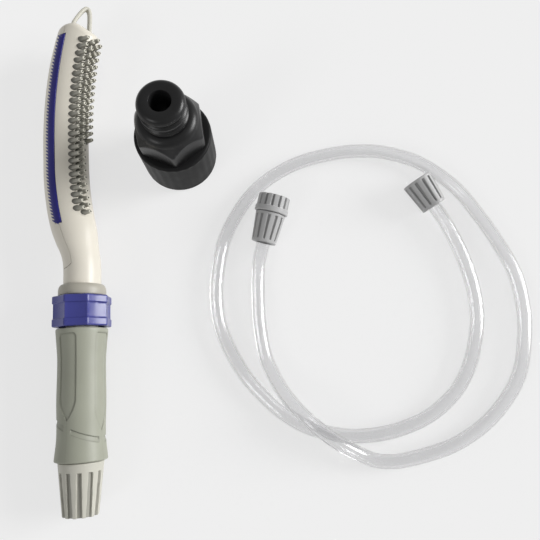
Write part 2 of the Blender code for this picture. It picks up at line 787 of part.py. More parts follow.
def comb_mesh(name, side):
    """A curved strip with a plain edge towards the nubs and slanted teeth towards the back."""
    pitch = (COMB_END - COMB_START) / COMB_TEETH
    bm = bmesh.new()
    tooth_gap = 0.18 * pitch
    layers = []
    for radius in (COMB_PROUD, -COMB_DEPTH):
        def put(along, angle):
            return bm.verts.new(comb_point(along, side * angle, radius))

        edge = [put(COMB_START + pitch * i, COMB_EDGE) for i in range(COMB_TEETH + 1)]
        root = [put(COMB_START + pitch * i, COMB_ROOT) for i in range(COMB_TEETH + 1)]
        starts, ends = [], []
        for i in range(COMB_TEETH):
            low = COMB_START + pitch * i - COMB_SLANT
            starts.append(put(low + tooth_gap, COMB_TIP))
            ends.append(put(low + pitch - tooth_gap, COMB_TIP))
        layers.append((edge, root, starts, ends))
    for edge, root, starts, ends in layers:
        for i in range(COMB_TEETH):
            bm.faces.new((edge[i], edge[i + 1], root[i + 1], root[i]))
            bm.faces.new((root[i], root[i + 1], ends[i], starts[i]))
    (edge, root, starts, ends), (edge2, root2, starts2, ends2) = layers
    for i in range(COMB_TEETH):
        bm.faces.new((edge[i], edge[i + 1], edge2[i + 1], edge2[i]))
        bm.faces.new((starts[i], ends[i], ends2[i], starts2[i]))
        bm.faces.new((root[i], starts[i], starts2[i], root2[i]))
        bm.faces.new((root[i + 1], ends[i], ends2[i], root2[i + 1]))
    for i in (0, -1):
        bm.faces.new((edge[i], root[i], root2[i], edge2[i]))
    return mesh_from(bm, name)


def comb_seat(name, side, parent):
    """The recess that a comb lies in, with clearance all round."""
    spread = 2 * GAP / HEAD_RADIUS
    low, high = COMB_START - COMB_SLANT - 2 * GAP, COMB_END + 2 * GAP
    sections = []
    for k in range(SEAT_STEPS + 1):
        height = blend(low, high, k / SEAT_STEPS)
        radius, middle = head_radius(height), head_middle(height)
        angles = (COMB_EDGE - spread, COMB_EDGE, COMB_ROOT, COMB_TIP, COMB_TIP + spread)
        angles = [side * angle for angle in angles]
        outside = [around(radius + 4 * MM, a, height, middle) for a in angles]
        sections.append(
            outside + [around(radius - COMB_DEPTH - GAP, a, height, middle) for a in reversed(angles)]
        )
    return add_cutter(name, lofted(name, sections), parent)


def nub_places():
    """(x, place along the wand) of each nub: the columns are staggered by half a pitch."""
    places = []
    for column in range(NUB_COLUMNS):
        rows = NUB_ROWS + (NUB_TAIL_ROWS if column < NUB_TAIL_COLUMNS else 0)
        for row in range(rows):
            along = NUB_TOP_ROW - NUB_PITCH * (row + 0.5 * (column % 2))
            places.append((NUB_FIRST_COLUMN - NUB_COLUMN_GAP * column, along))
    return places


def pad_side(along, margin):
    """The angles of the pad's two long edges, at a place along the wand and with a margin added."""
    step = NUB_TOP_ROW - NUB_PITCH * (NUB_ROWS + 0.2)
    share = min(max((along - step) / NUB_PITCH + 0.5, 0.0), 1.0)
    columns = blend(NUB_TAIL_COLUMNS, NUB_COLUMNS, share)
    high = NUB_FIRST_COLUMN + PAD_MARGIN + margin
    low = NUB_FIRST_COLUMN - NUB_COLUMN_GAP * (columns - 1) - PAD_MARGIN - margin
    return math.asin(low / HEAD_RADIUS), math.asin(high / HEAD_RADIUS)


def pad_strip(name, inner, outer, margin):
    """A strip of the pad's outline, between two depths measured from the head's surface."""
    end = NUB_TOP_ROW + PAD_MARGIN + margin
    start = NUB_TOP_ROW - NUB_PITCH * (NUB_ROWS + NUB_TAIL_ROWS - 0.5) - PAD_MARGIN - margin
    step = NUB_TOP_ROW - NUB_PITCH * (NUB_ROWS + 0.2)
    inside = [s for s in HEAD_STATIONS if start + 2 * MM < s < end - 2 * MM and abs(s - step) > 4 * MM]
    heights = sorted([start, end, step - NUB_PITCH / 2, step + NUB_PITCH / 2, *inside])
    sections = []
    for height in heights:
        low, high = pad_side(height, margin)
        radius = head_radius(height)
        sections.append(
            strip_section(radius + inner, radius + outer, low, high, height, 5, head_middle(height))
        )
    return lofted(name, sections)


def make_nub_pad(wand):
    under = -HEAD_WALL - 1.5 * GAP
    flange = pad_strip("nub_pad", under - PAD_FLANGE_WALL, under, PAD_FLANGE)
    pad = add_part("nub_pad", flange, NUB_GREY, wand)
    body = add_cutter("pad body", pad_strip("pad body", under - PAD_FLANGE_WALL / 2, 0.0, 0.0), wand)
    bm = bmesh.new()
    for x, along in nub_places():
        radius, middle = head_radius(along), head_middle(along)
        base = middle + math.sqrt(radius**2 - x**2)
        foot, tip = base - 1.2 * MM, base + NUB_HEIGHT
        sections = []
        for level, size in ((foot, NUB_ROOT_RADIUS), (tip, NUB_TIP_RADIUS)):
            section = []
            for k in range(NUB_SIDES):
                angle = TURN * k / NUB_SIDES
                section.append(Vector((x + size * math.cos(angle), level, along + size * math.sin(angle))))
            sections.append(section)
        loft(bm, sections)
    nubs = add_cutter("nubs", mesh_from(bm, "nubs"), wand)
    combine(pad, body, "UNION")
    combine(pad, nubs, "UNION")


def loop_path():
    """The loop's middle line: an arch that stands across the tip."""
    rise = LOOP_PEAK - LOOP_FOOT
    half = [(1.0, 0.0), (1.0, 0.26), (0.93, 0.46), (0.74, 0.66), (0.5, 0.83), (0.26, 0.95)]
    path = [(LOOP_HALF_SPAN * x, LOOP_FOOT + rise * z) for x, z in half]
    return path + [(0.0, LOOP_PEAK)] + [(-x, z) for x, z in reversed(path)]


def make_loop(wand):
    path = loop_path()
    sections = []
    for i, (x, z) in enumerate(path):
        before, after = path[max(i - 1, 0)], path[min(i + 1, len(path) - 1)]
        along = Vector((after[0] - before[0], after[1] - before[1])).normalized()
        across = Vector((along.y, -along.x)) * LOOP_THICKNESS / 2
        low, high = LOOP_LEVEL - LOOP_WIDTH / 2, LOOP_LEVEL + LOOP_WIDTH / 2
        sections.append(
            [
                Vector((x + across.x, low, z + across.y)),
                Vector((x + across.x, high, z + across.y)),
                Vector((x - across.x, high, z - across.y)),
                Vector((x - across.x, low, z - across.y)),
            ]
        )
    add_part("hanging_loop", lofted("hanging_loop", sections), CREAM, wand)


def loop_slots(wand):
    """The two slots in the tip that take the loop's feet."""
    bm = bmesh.new()
    for side in (-1, 1):
        made = bmesh.ops.create_cube(bm, size=1.0)
        size = Vector((LOOP_THICKNESS + 2 * GAP, LOOP_WIDTH + 2 * GAP, LOOP_PEAK - LOOP_FOOT))
        bmesh.ops.scale(bm, verts=made["verts"], vec=size)
        place = (side * LOOP_HALF_SPAN, LOOP_LEVEL, (LOOP_PEAK + LOOP_FOOT) / 2 - GAP)
        bmesh.ops.translate(bm, verts=made["verts"], vec=place)
    return add_cutter("loop slots", mesh_from(bm, "loop slots"), wand)


def make_head(wand):
    start = COLLAR_START + COLLAR_LENGTH + 2 * GAP + 0.4 * MM
    hollow = add_cutter("hollow", head_solid("hollow", HEAD_WALL, start - 10 * MM), wand)
    seats = [comb_seat("left seat", -1, wand), comb_seat("right seat", 1, wand)]
    window = add_cutter("pad window", pad_strip("pad window", -6 * MM, 6 * MM, GAP), wand)
    front = add_part("head_shell_front", head_solid("head_shell_front", 0.0, start), CREAM, wand)
    rear = add_part("head_shell_rear", head_solid("head_shell_rear", 0.0, start), CREAM, wand)
    cuts = [hollow, parting_block("rear block", wand, True, 0.0), *seats, window, loop_slots(wand)]
    for cutter in cuts:
        combine(front, cutter)
    for cutter in (hollow, parting_block("front block", wand, False, GAP), *seats):
        combine(rear, cutter)
    for name, side in (("comb_left", -1), ("comb_right", 1)):
        add_part(name, comb_mesh(name, side), NAVY, wand)
    make_nub_pad(wand)
    make_loop(wand)
    heights = [COLLAR_START + COLLAR_LENGTH + 8 * MM, *HEAD_STATIONS[:-2:2], CHANNEL_END]
    outer = [ring_section(CHANNEL_RADIUS, h, CHANNEL_SIDES, head_middle(h)) for h in heights]
    inner = [ring_section(CHANNEL_RADIUS - CHANNEL_WALL, h, CHANNEL_SIDES, head_middle(h)) for h in heights]
    tube("water_channel", outer, inner, INNER_WHITE, wand)


# ---------------------------------------------------------------- nuts and tailpieces


def nut_sections(narrow, wide, length, count, depth, shares, grooves, turn=0.0, flat=True):
    """The outer sections of a tapered nut with grooves between two heights."""
    low, high = grooves
    rounding = 0.6 * MM

    def section(height, sunk, inset=0.0):
        share = height / length
        radius = blend(narrow, wide, share) - inset
        return fluted_section(height, radius, sunk, blend(shares[0], shares[1], share), count, turn, flat)

    sections = []
    if low > 0:
        sections.append(section(0.0, 0.0, rounding))
        sections.append(section(low, 0.0))
        sections.append(section(low + depth, depth))
    else:
        sections.append(section(0.0, depth))
    sections.append(section(high - depth, depth))
    sections.append(section(high, 0.0))
    sections.append(section(length - rounding, 0.0))
    sections.append(section(length, 0.0, rounding))
    return sections


def nut_bore(stations, length, count, shares, turn=0.0, flat=True):
    """The inner sections of a nut from (height, radius) stations."""
    return [
        fluted_section(height, radius, 0.0, blend(shares[0], shares[1], height / length), count, turn, flat)
        for height, radius in stations
    ]


def make_inlet(wand):
    shares = (0.64, 0.36)
    grooves = (0.0, INLET_NUT_LENGTH - INLET_NUT_BAND)
    outer = nut_sections(
        INLET_NUT_NARROW,
        INLET_NUT_WIDE,
        INLET_NUT_LENGTH,
        INLET_FLUTES,
        INLET_FLUTE_DEPTH,
        shares,
        grooves,
        INLET_FLUTE_TURN,
    )
    cavity = THREAD_RADIUS + 1.3 * GAP
    lip = LIP_THICKNESS
    stations = ((0, INLET_MOUTH), (lip, INLET_MOUTH), (lip, cavity), (INLET_NUT_LENGTH, cavity))
    inner = nut_bore(stations, INLET_NUT_LENGTH, INLET_FLUTES, shares, INLET_FLUTE_TURN)
    tube("inlet_nut", outer, inner, NUT_BEIGE, wand)

    barb_end = BARB_START + BARB_LENGTH
    outline = [(WATER_BORE, BARB_START), (BARB_RADIUS - 0.8 * MM, BARB_START)]
    ridge = (BARB_LENGTH - 2 * MM) / BARB_RIDGES
    for k in range(BARB_RIDGES):
        outline.append((BARB_RADIUS, BARB_START + ridge * (k + 0.8)))
        outline.append((BARB_RADIUS - 0.6 * MM, BARB_START + ridge * (k + 1)))
    flange = INLET_NUT_LENGTH + 0.4 * MM
    flange_end = GRIP_START + 2.0 * MM
    outline += [
        (BARB_RADIUS - 0.6 * MM, barb_end),
        (THREAD_RADIUS, barb_end),
        (THREAD_RADIUS, flange),
        (CORE_RADIUS, flange),
        (CORE_RADIUS, flange_end),
        (CORE_BORE - GAP, flange_end),
        (CORE_BORE - GAP, TAILPIECE_END),
        (WATER_BORE + 2.4 * MM, TAILPIECE_END),
        (WATER_BORE, TAILPIECE_END - 5 * MM),
    ]
    turned("inlet_tailpiece", outline, STONE, wand, INNER_ROUND)
    low = LIP_THICKNESS + GAP
    clamp = [
        (HOSE_RADIUS + GAP, low),
        (cavity - GAP, low),
        (cavity - GAP, low + 5 * MM),
        (HOSE_RADIUS + 1 * MM, low + 8 * MM),
        (HOSE_RADIUS + GAP, low + 8 * MM),
    ]
    turned("inlet_clamp_ring", clamp, INNER_WHITE, wand, INNER_ROUND)
    low = TAILPIECE_END + GAP
    screen = [
        (0, low),
        (CORE_BORE - GAP, low),
        (CORE_BORE - GAP, low + SCREEN_THICKNESS),
        (CORE_BORE - 1.5 * MM, low + SCREEN_THICKNESS),
        (CORE_BORE - 1.8 * MM, low + 0.5 * MM),
        (0, low + 0.9 * MM),
    ]
    turned("filter_screen", screen, STONE, wand, INNER_ROUND, closed=False)


# ---------------------------------------------------------------- hose and its ends


def lying_frame(name, at, heading, narrow, wide, length):
    """A frame on the axis of a tapered piece that lies on the floor, from its narrow end to its wide end."""
    rise = math.asin((wide - narrow) / length)
    along = Vector((math.sin(heading) * math.cos(rise), math.cos(heading) * math.cos(rise), math.sin(rise)))
    side = along.cross(Vector((0, 0, 1))).normalized()
    up = side.cross(along)
    matrix = Matrix((side, up, along)).transposed().to_4x4()
    matrix.translation = Vector((at[0] - LAYOUT_MIDDLE[0], at[1] - LAYOUT_MIDDLE[1], narrow + FLOOR_GAP))
    return frame_at(name, matrix)


def make_nut(name, frame, narrow, wide, length, cavity):
    """A hose clamp nut: its mouth goes round the hose and its wide end is open."""
    shares = (0.3, 0.45)
    outer = nut_sections(
        narrow, wide, length, NUT_FLUTES, NUT_FLUTE_DEPTH, shares, (2.0 * MM, length - 2.0 * MM), 0.0, False
    )
    mouth = HOSE_RADIUS + MOUTH_CLEARANCE
    stations = ((0, mouth), (LIP_THICKNESS, mouth), (LIP_THICKNESS, cavity), (length, cavity))
    inner = nut_bore(stations, length, NUT_FLUTES, shares, 0.0, False)
    tube(name, outer, inner, NUT_GREY, frame)


def make_clamp_ring(name, frame, seat, cavity):
    low = LIP_THICKNESS + GAP
    outline = band(HOSE_RADIUS + 1.5 * GAP, cavity - GAP, low, seat - GAP)
    turned(name, outline, INNER_WHITE, frame, INNER_ROUND)


def make_tap_end(frame):
    cavity = NUT_BODY_RADIUS + 1.3 * GAP
    make_nut("tap_end_nut", frame, TAP_NUT_NARROW, TAP_NUT_WIDE, TAP_NUT_LENGTH, cavity)
    make_clamp_ring("tap_end_clamp_ring", frame, TAP_SEAT, cavity)

    low = TAP_NUT_LENGTH + GAP
    shoulder = low + 2.4 * MM
    crown = low + SWIVEL_BAND
    high = crown + SWIVEL_CROWN
    flute = SWIVEL_RADIUS - SWIVEL_CROWN_RADIUS + 0.5 * MM
    outer = [
        fluted_section(low, SWIVEL_RADIUS - 0.5 * MM, 0.0, 0.5, SWIVEL_FLUTES, 0.0, False),
        fluted_section(low + 0.5 * MM, SWIVEL_RADIUS, 0.0, 0.5, SWIVEL_FLUTES, 0.0, False),
        fluted_section(crown, SWIVEL_RADIUS, 0.0, 0.5, SWIVEL_FLUTES, 0.0, False),
        fluted_section(crown + 0.5 * MM, SWIVEL_CROWN_RADIUS, flute, 0.5, SWIVEL_FLUTES, 0.0, False),
        fluted_section(high - 0.5 * MM, SWIVEL_CROWN_RADIUS, flute, 0.5, SWIVEL_FLUTES, 0.0, False),
        fluted_section(high, SWIVEL_CROWN_RADIUS - 0.5 * MM, flute, 0.5, SWIVEL_FLUTES, 0.0, False),
    ]
    stations = ((low, cavity), (shoulder, cavity), (shoulder, SWIVEL_BORE), (high, SWIVEL_BORE))
    inner = [fluted_section(h, r, 0.0, 0.5, SWIVEL_FLUTES, 0.0, False) for h, r in stations]
    tube("tap_end_ring", outer, inner, NUT_GREY, frame)

    flange = shoulder + GAP
    face = flange + FLANGE_THICKNESS
    outline = [
        (WATER_BORE, TAP_SEAT + GAP),
        (NUT_BODY_RADIUS, TAP_SEAT + GAP),
        (NUT_BODY_RADIUS, flange),
        (SWIVEL_BORE - 1.3 * GAP, flange),
        (SWIVEL_BORE - 1.3 * GAP, face),
        (WATER_BORE, face),
    ]
    turned("tap_end_tailpiece", outline, INNER_WHITE, frame, INNER_ROUND)
    washer = band(WATER_BORE + 1 * MM, SWIVEL_BORE - 1.3 * GAP, face + GAP, face + GAP + WASHER_THICKNESS)
    turned("tap_end_washer", washer, SEAL_RUBBER, frame, INNER_ROUND)


def make_wand_end(frame):
    cavity = NUT_BODY_RADIUS + 1.3 * GAP
    make_nut("wand_end_nut", frame, WAND_NUT_NARROW, WAND_NUT_WIDE, WAND_NUT_LENGTH, cavity)
    make_clamp_ring("wand_end_clamp_ring", frame, WAND_SEAT, cavity)
    low = WAND_SEAT + GAP
    outline = band(WATER_BORE, NUT_BODY_RADIUS, low, low + FLANGE_THICKNESS)
    turned("wand_end_tailpiece", outline, INNER_WHITE, frame, INNER_ROUND)
    face = low + FLANGE_THICKNESS + GAP
    washer = band(WATER_BORE + 1 * MM, NUT_BODY_RADIUS, face, face + WASHER_THICKNESS)
    turned("wand_end_washer", washer, SEAL_RUBBER, frame, INNER_ROUND)


def hose_ends(frame, seat):
    """The hose's seat in a connector, its mouth and a point straight behind the mouth."""
    return [frame.matrix_world @ Vector((0, 0, along)) for along in (seat, 0.0, -HOSE_LEAD)]


def make_hose(tap_end, wand_end):
    middle = Vector((*LAYOUT_MIDDLE, -HOSE_REST))
    laid = [Vector((x * MM, y * MM, lift * MM)) - middle for x, y, lift in HOSE_ROUTE]
    route = hose_ends(tap_end, TAP_SEAT - GAP) + laid
    route += list(reversed(hose_ends(wand_end, WAND_SEAT - GAP)))
    curve = bpy.data.curves.new("hose", "CURVE")
    curve.dimensions = "3D"
    curve.bevel_depth = HOSE_RADIUS
    curve.bevel_resolution = 2
    curve.use_fill_caps = True
    points = smooth_path(route, HOSE_STEP)
    spline = curve.splines.new("POLY")
    spline.points.add(len(points) - 1)
    for place, point in zip(points, spline.points):
        point.co = (*place, 1.0)
    hose = bpy.data.objects.new("hose", curve)
    parts.objects.link(hose)
    curve.materials.append(CLEAR)
    length = sum((b - a).length for a, b in zip(points, points[1:]))
    print(f"hose: {length:.3f} m in {len(points)} points")


# ---------------------------------------------------------------- tap adapter


def make_adapter():
    at = Vector((ADAPTER_AT[0] - LAYOUT_MIDDLE[0], ADAPTER_AT[1] - LAYOUT_MIDDLE[1], 0))
    stand = frame_at("adapter frame", Matrix.Translation(at) @ Matrix.Rotation(ADAPTER_TURN, 4, "Z"))
    shoulder = RING_HEIGHT - RING_SHOULDER
    flange = shoulder - GAP
    hex_low = RING_HEIGHT + GAP
    hex_high = hex_low + HEX_HEIGHT
    dome = hex_high + DOME_HEIGHT
    top = ADAPTER_HEIGHT
    outline = [
        (NOSE_BORE, flange - SOCKET_FLANGE),
        (SOCKET_RADIUS - GAP, flange - SOCKET_FLANGE),
        (SOCKET_RADIUS - GAP, flange),
        (SOCKET_NECK, flange),
        (SOCKET_NECK, hex_low),
        (HEX_CORNER - 0.8 * MM, hex_low),
        (HEX_CORNER, hex_low + 0.8 * MM),
        (HEX_CORNER, hex_high - HEX_CHAMFER),
        (HEX_APOTHEM - 0.4 * MM, hex_high),
    ]
    for k in range(1, 4):
        angle = TURN / 4 * k / 3
        outline.append(
            (
                NOSE_NECK + (HEX_APOTHEM - 0.8 * MM - NOSE_NECK) * math.cos(angle),
                hex_high + (dome - hex_high) * math.sin(angle),
            )
        )
    for k in range(NOSE_RIDGES):
        crest = dome + NOSE_RIDGE_PITCH * (k + 0.5)
        if k == NOSE_RIDGES - 1:
            outline += [(NOSE_RADIUS, crest - 1.3 * MM), (NOSE_RADIUS, top - 3.2 * MM)]
        else:
            outline += [(NOSE_RADIUS, crest - 1.3 * MM), (NOSE_RADIUS, crest + 1.0 * MM)]
            outline.append((NOSE_NECK, crest + NOSE_RIDGE_PITCH / 2))
    outline += [
        (NOSE_RADIUS - 0.9 * MM, top - 1.0 * MM),
        (NOSE_RIM, top),
        (NOSE_BORE + 1.2 * MM, top),
        (NOSE_BORE, top - 1.2 * MM),
    ]
    body = turned("adapter_body", outline, BLACK, stand)
    corner = HEX_APOTHEM / math.cos(TURN / 12)
    prism = lofted(
        "hex prism",
        [ring_section(corner, height, 6) for height in (-10 * MM, ADAPTER_HEIGHT + 10 * MM)],
    )
    combine(body, add_cutter("hex prism", prism, stand), "INTERSECT")

    count = RING_RIBS * 2

    def ribbed(height, radius, depth):
        return [around(radius - depth * (i % 2), TURN * i / count, height) for i in range(count)]

    outer = [
        ribbed(0.0, RING_RADIUS - 1.8 * MM, 0.0),
        ribbed(0.7 * MM, RING_RADIUS - 0.5 * MM, 0.0),
        ribbed(3.0 * MM, RING_RADIUS, RIB_DEPTH),
        ribbed(RING_HEIGHT - 3.5 * MM, RING_RADIUS, RIB_DEPTH),
        ribbed(RING_HEIGHT - 1.2 * MM, RING_RADIUS - 0.4 * MM, 0.0),
        ribbed(RING_HEIGHT, RING_RADIUS - 1.8 * MM, 0.0),
    ]
    neck = SOCKET_NECK + 1.3 * GAP
    stations = ((0, SOCKET_RADIUS), (shoulder, SOCKET_RADIUS), (shoulder, neck), (RING_HEIGHT, neck))
    inner = [ring_section(radius, height, count) for height, radius in stations]
    tube("adapter_ring", outer, inner, BLACK, stand)
    low = flange - SOCKET_FLANGE - GAP
    washer = band(NOSE_BORE + 3 * MM, SOCKET_RADIUS - 2 * GAP, low - 2 * MM, low)
    turned("adapter_washer", washer, SEAL_RUBBER, stand)


# ---------------------------------------------------------------- placing


def wand_frame():
    """The wand's frame: it rests on the grip's skirt and on the back of the head."""
    back = head_radius(WAND_REST) - head_middle(WAND_REST) * math.cos(WAND_ROLL)
    rise = (back - SKIRT_RADIUS) / (WAND_REST - GRIP_START)
    along = Vector((math.sin(WAND_HEADING), math.cos(WAND_HEADING), rise)).normalized()
    level = along.cross(Vector((0, 0, 1))).normalized()
    up = level.cross(along)
    nubs = up * math.cos(WAND_ROLL) + level * math.sin(WAND_ROLL)
    side = nubs.cross(along)
    matrix = Matrix((side, nubs, along)).transposed().to_4x4()
    x, y = WAND_INLET[0] - LAYOUT_MIDDLE[0], WAND_INLET[1] - LAYOUT_MIDDLE[1]
    matrix.translation = Vector((x, y, SKIRT_RADIUS - GRIP_START * rise + FLOOR_GAP))
    return frame_at("wand frame", matrix)


def main():
    wand = wand_frame()
    make_grip(wand)
    make_collar(wand)
    make_barrel(wand)
    make_neck_ring(wand)
    make_head(wand)
    make_inlet(wand)
    tap_length = TAP_NUT_LENGTH + 2 * GAP
    tap_end = lying_frame(
        "tap end frame", TAP_END_AT, TAP_END_HEADING, TAP_NUT_NARROW, SWIVEL_RADIUS, tap_length
    )
    wand_end = lying_frame(
        "wand end frame", WAND_END_AT, WAND_END_HEADING, WAND_NUT_NARROW, WAND_NUT_WIDE, WAND_NUT_LENGTH
    )
    make_tap_end(tap_end)
    make_wand_end(wand_end)
    make_hose(tap_end, wand_end)
    make_adapter()


main()
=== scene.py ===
"""Looks of the handheld bath sprayer: a wand with a nub head, its clear hose and its tap adapter.

Each fine piece is made in the frame of the group that it belongs to: +Z along the wand or the connector, +Y the way
the nubs point, and an angle counted from +Y towards +X. Lengths are in metres.
"""

import json
import math

import bmesh
import bpy
from mathutils import Matrix, Vector


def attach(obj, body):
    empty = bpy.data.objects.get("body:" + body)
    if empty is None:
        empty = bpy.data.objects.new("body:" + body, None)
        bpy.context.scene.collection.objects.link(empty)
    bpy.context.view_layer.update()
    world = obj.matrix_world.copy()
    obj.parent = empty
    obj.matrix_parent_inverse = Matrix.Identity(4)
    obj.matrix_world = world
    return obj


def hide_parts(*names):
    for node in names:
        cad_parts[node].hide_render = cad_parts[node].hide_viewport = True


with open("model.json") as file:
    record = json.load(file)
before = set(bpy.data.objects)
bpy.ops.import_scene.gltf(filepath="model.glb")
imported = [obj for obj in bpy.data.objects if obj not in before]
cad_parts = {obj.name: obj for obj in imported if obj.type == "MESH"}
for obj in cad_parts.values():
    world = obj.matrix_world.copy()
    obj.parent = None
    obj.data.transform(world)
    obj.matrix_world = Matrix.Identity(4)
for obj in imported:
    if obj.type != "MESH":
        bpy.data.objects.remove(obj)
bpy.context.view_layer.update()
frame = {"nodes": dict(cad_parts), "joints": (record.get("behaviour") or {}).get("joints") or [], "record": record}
NODES = frame["nodes"]
JOINTS = {joint["name"]: joint for joint in frame["joints"]}

MM = 0.001
GAP = 0.3 * MM
TURN = 2 * math.pi
PATH_FINENESS = 12

# ---------------------------------------------------------------- camera

CAMERA_AT = (0.09988, -0.1043, 0.4214)
CAMERA_TILT = math.radians(11.5)

camera = bpy.data.objects.new("camera", bpy.data.cameras.new("camera"))
bpy.context.scene.collection.objects.link(camera)
camera.data.lens = 40
camera.data.sensor_width = 36
camera.data.clip_start = 0.01
camera.location = CAMERA_AT
camera.rotation_euler = (CAMERA_TILT, 0, 0)
bpy.context.scene.camera = camera
bpy.context.scene.view_settings.view_transform = "Standard"

# ---------------------------------------------------------------- shapes


def blend(a, b, share):
    return a + (b - a) * share


def step_up(low, high, value):
    """0 below low, 1 above high, and smooth between them."""
    t = min(max((value - low) / (high - low), 0.0), 1.0)
    return t * t * (3 - 2 * t)


def around(radius, angle, height, middle=0.0):
    return Vector((radius * math.sin(angle), middle + radius * math.cos(angle), height))


def steps(low, high, pitch):
    """Even places from low to high, about a pitch apart."""
    count = max(1, round((high - low) / pitch))
    return [blend(low, high, i / count) for i in range(count + 1)]


def edge_rounding(depth, inside, reach):
    """How far a rounded edge falls back at a place this far inside it."""
    share = min(inside / reach, 1.0)
    return depth * (1 - math.sqrt(max(0.0, 1 - (1 - share) ** 2)))


def off_angle(angle, middle):
    """How far an angle lies from another one, either way."""
    return abs((angle - middle + math.pi) % TURN - math.pi)


def smooth_value(stations, at):
    """The value at a place on the smooth curve through (place, value) stations."""
    if at <= stations[0][0]:
        return stations[0][1]
    for i in range(len(stations) - 1):
        (x0, y0), (x1, y1) = stations[i], stations[i + 1]
        if at <= x1:
            before = stations[max(i - 1, 0)]
            after = stations[min(i + 2, len(stations) - 1)]
            slope0 = (y1 - before[1]) / (x1 - before[0])
            slope1 = (after[1] - y0) / (after[0] - x0)
            span = x1 - x0
            t = (at - x0) / span
            start = y0 * (1 + 2 * t) * (1 - t) ** 2 + span * slope0 * t * (1 - t) ** 2
            return start + y1 * t * t * (3 - 2 * t) + span * slope1 * t * t * (t - 1)
    return stations[-1][1]


def smooth_path(route, step):
    """Even points, about a step apart, on the smooth curve through a route's points."""
    fine = []
    for i in range(len(route) - 1):
        before, here = route[max(i - 1, 0)], route[i]
        there, after = route[i + 1], route[min(i + 2, len(route) - 1)]
        for k in range(PATH_FINENESS):
            t = k / PATH_FINENESS
            bend = (2 * before - 5 * here + 4 * there - after) * t * t
            twist = (3 * here - before - 3 * there + after) * t**3
            fine.append(0.5 * (2 * here + (there - before) * t + bend + twist))
    fine.append(route[-1])
    travelled = [0.0]
    for a, b in zip(fine, fine[1:]):
        travelled.append(travelled[-1] + (b - a).length)
    count = round(travelled[-1] / step)
    points, j = [], 0
    for i in range(count + 1):
        target = travelled[-1] * i / count
        while j < len(fine) - 2 and travelled[j + 1] < target:
            j += 1
        share = (target - travelled[j]) / (travelled[j + 1] - travelled[j])
        points.append(blend(fine[j], fine[j + 1], share))
    return points


def mesh_of(bm, name):
    bmesh.ops.recalc_face_normals(bm, faces=bm.faces)
    mesh = bpy.data.meshes.new(name)
    bm.to_mesh(mesh)
    bm.free()
    return mesh


def add_rings(bm, rings, wrap=False, caps=False):
    """Skins between like rings. wrap joins the last ring to the first, and caps close both ends."""
    laid = [[bm.verts.new(p) for p in ring] for ring in rings]
    pairs = list(zip(laid, laid[1:])) + ([(laid[-1], laid[0])] if wrap else [])
    for low, high in pairs:
        for i in range(len(low)):
            j = (i + 1) % len(low)
            bm.faces.new((low[i], low[j], high[j], high[i]))
    if caps:
        bm.faces.new(laid[0])
        bm.faces.new(laid[-1])


def ring_mesh(name, rings, wrap=True, caps=False):
    bm = bmesh.new()
    add_rings(bm, rings, wrap, caps)
    return mesh_of(bm, name)


def paint(mesh, shades):
    """Stores painted shade at each vertex: how much darker the colour is made there. A minus value is a painted
    highlight, which makes it lighter.
    """
    stored = mesh.attributes.new("shade", "FLOAT", "POINT")
    stored.data.foreach_set("value", shades)
    return mesh


def field_tube(name, heights, radius_at, bore, sides, shade_at=None):
    """A hollow piece: its outside is radius_at(height, angle), and bore is a list of (radius, height)."""
    angles = [TURN * i / sides for i in range(sides)]
    rings = [[around(radius_at(h, a), a, h) for a in angles] for h in heights]
    rings += [[around(radius, a, h) for a in angles] for radius, h in bore]
    mesh = ring_mesh(name, rings)
    if shade_at:
        paint(mesh, [shade_at(h, a) for h in heights for a in angles] + [0.0] * (len(bore) * sides))
    return mesh


def turned_mesh(name, outline, sides=72):
    """A ring turned about Z from a closed (radius, height) outline."""
    return ring_mesh(name, [[around(r, TURN * i / sides, h) for i in range(sides)] for r, h in outline])


def carve(mesh, cutters):
    """The mesh less each cutter's solid, cut in the order given."""
    scene = bpy.context.scene.collection
    work = bpy.data.objects.new("work", mesh)
    scene.objects.link(work)
    tools = []
    for cutter in cutters:
        tool = bpy.data.objects.new("tool", cutter)
        scene.objects.link(tool)
        tools.append(tool)
        modifier = work.modifiers.new("cut", "BOOLEAN")
        modifier.operation = "DIFFERENCE"
        modifier.solver = "EXACT"
        modifier.object = tool
    bpy.context.view_layer.update()
    carved = bpy.data.meshes.new_from_object(work.evaluated_get(bpy.context.evaluated_depsgraph_get()))
    for used in [work, *tools]:
        bpy.data.objects.remove(used)
    carved.name = mesh.name
    return carved


# ---------------------------------------------------------------- materials


def make_material(name):
    made = bpy.data.materials.new(name)
    made.use_nodes = True
    tree = made.node_tree
    return made, tree, tree.nodes["Principled BSDF"]


def add_node(tree, kind, **settings):
    node = tree.nodes.new(kind)
    for key, value in settings.items():
        if key in node.inputs:
            node.inputs[key].default_value = value
        else:
            setattr(node, key, value)
    return node


def noise_of(tree, scale, detail, roughness=0.5, stretch=(1.0, 1.0, 1.0)):
    """Noise in the piece's own space, in metres."""
    place = add_node(tree, "ShaderNodeTexCoord")
    mapping = add_node(tree, "ShaderNodeMapping", Scale=stretch)
    tree.links.new(place.outputs["Object"], mapping.inputs["Vector"])
    noise = add_node(tree, "ShaderNodeTexNoise", Scale=scale, Detail=detail, Roughness=roughness)
    tree.links.new(mapping.outputs["Vector"], noise.inputs["Vector"])
    return noise


TONE_SCALE, PATCH_SCALE, COAT_ROUGHNESS = 38.0, 120.0, 0.15


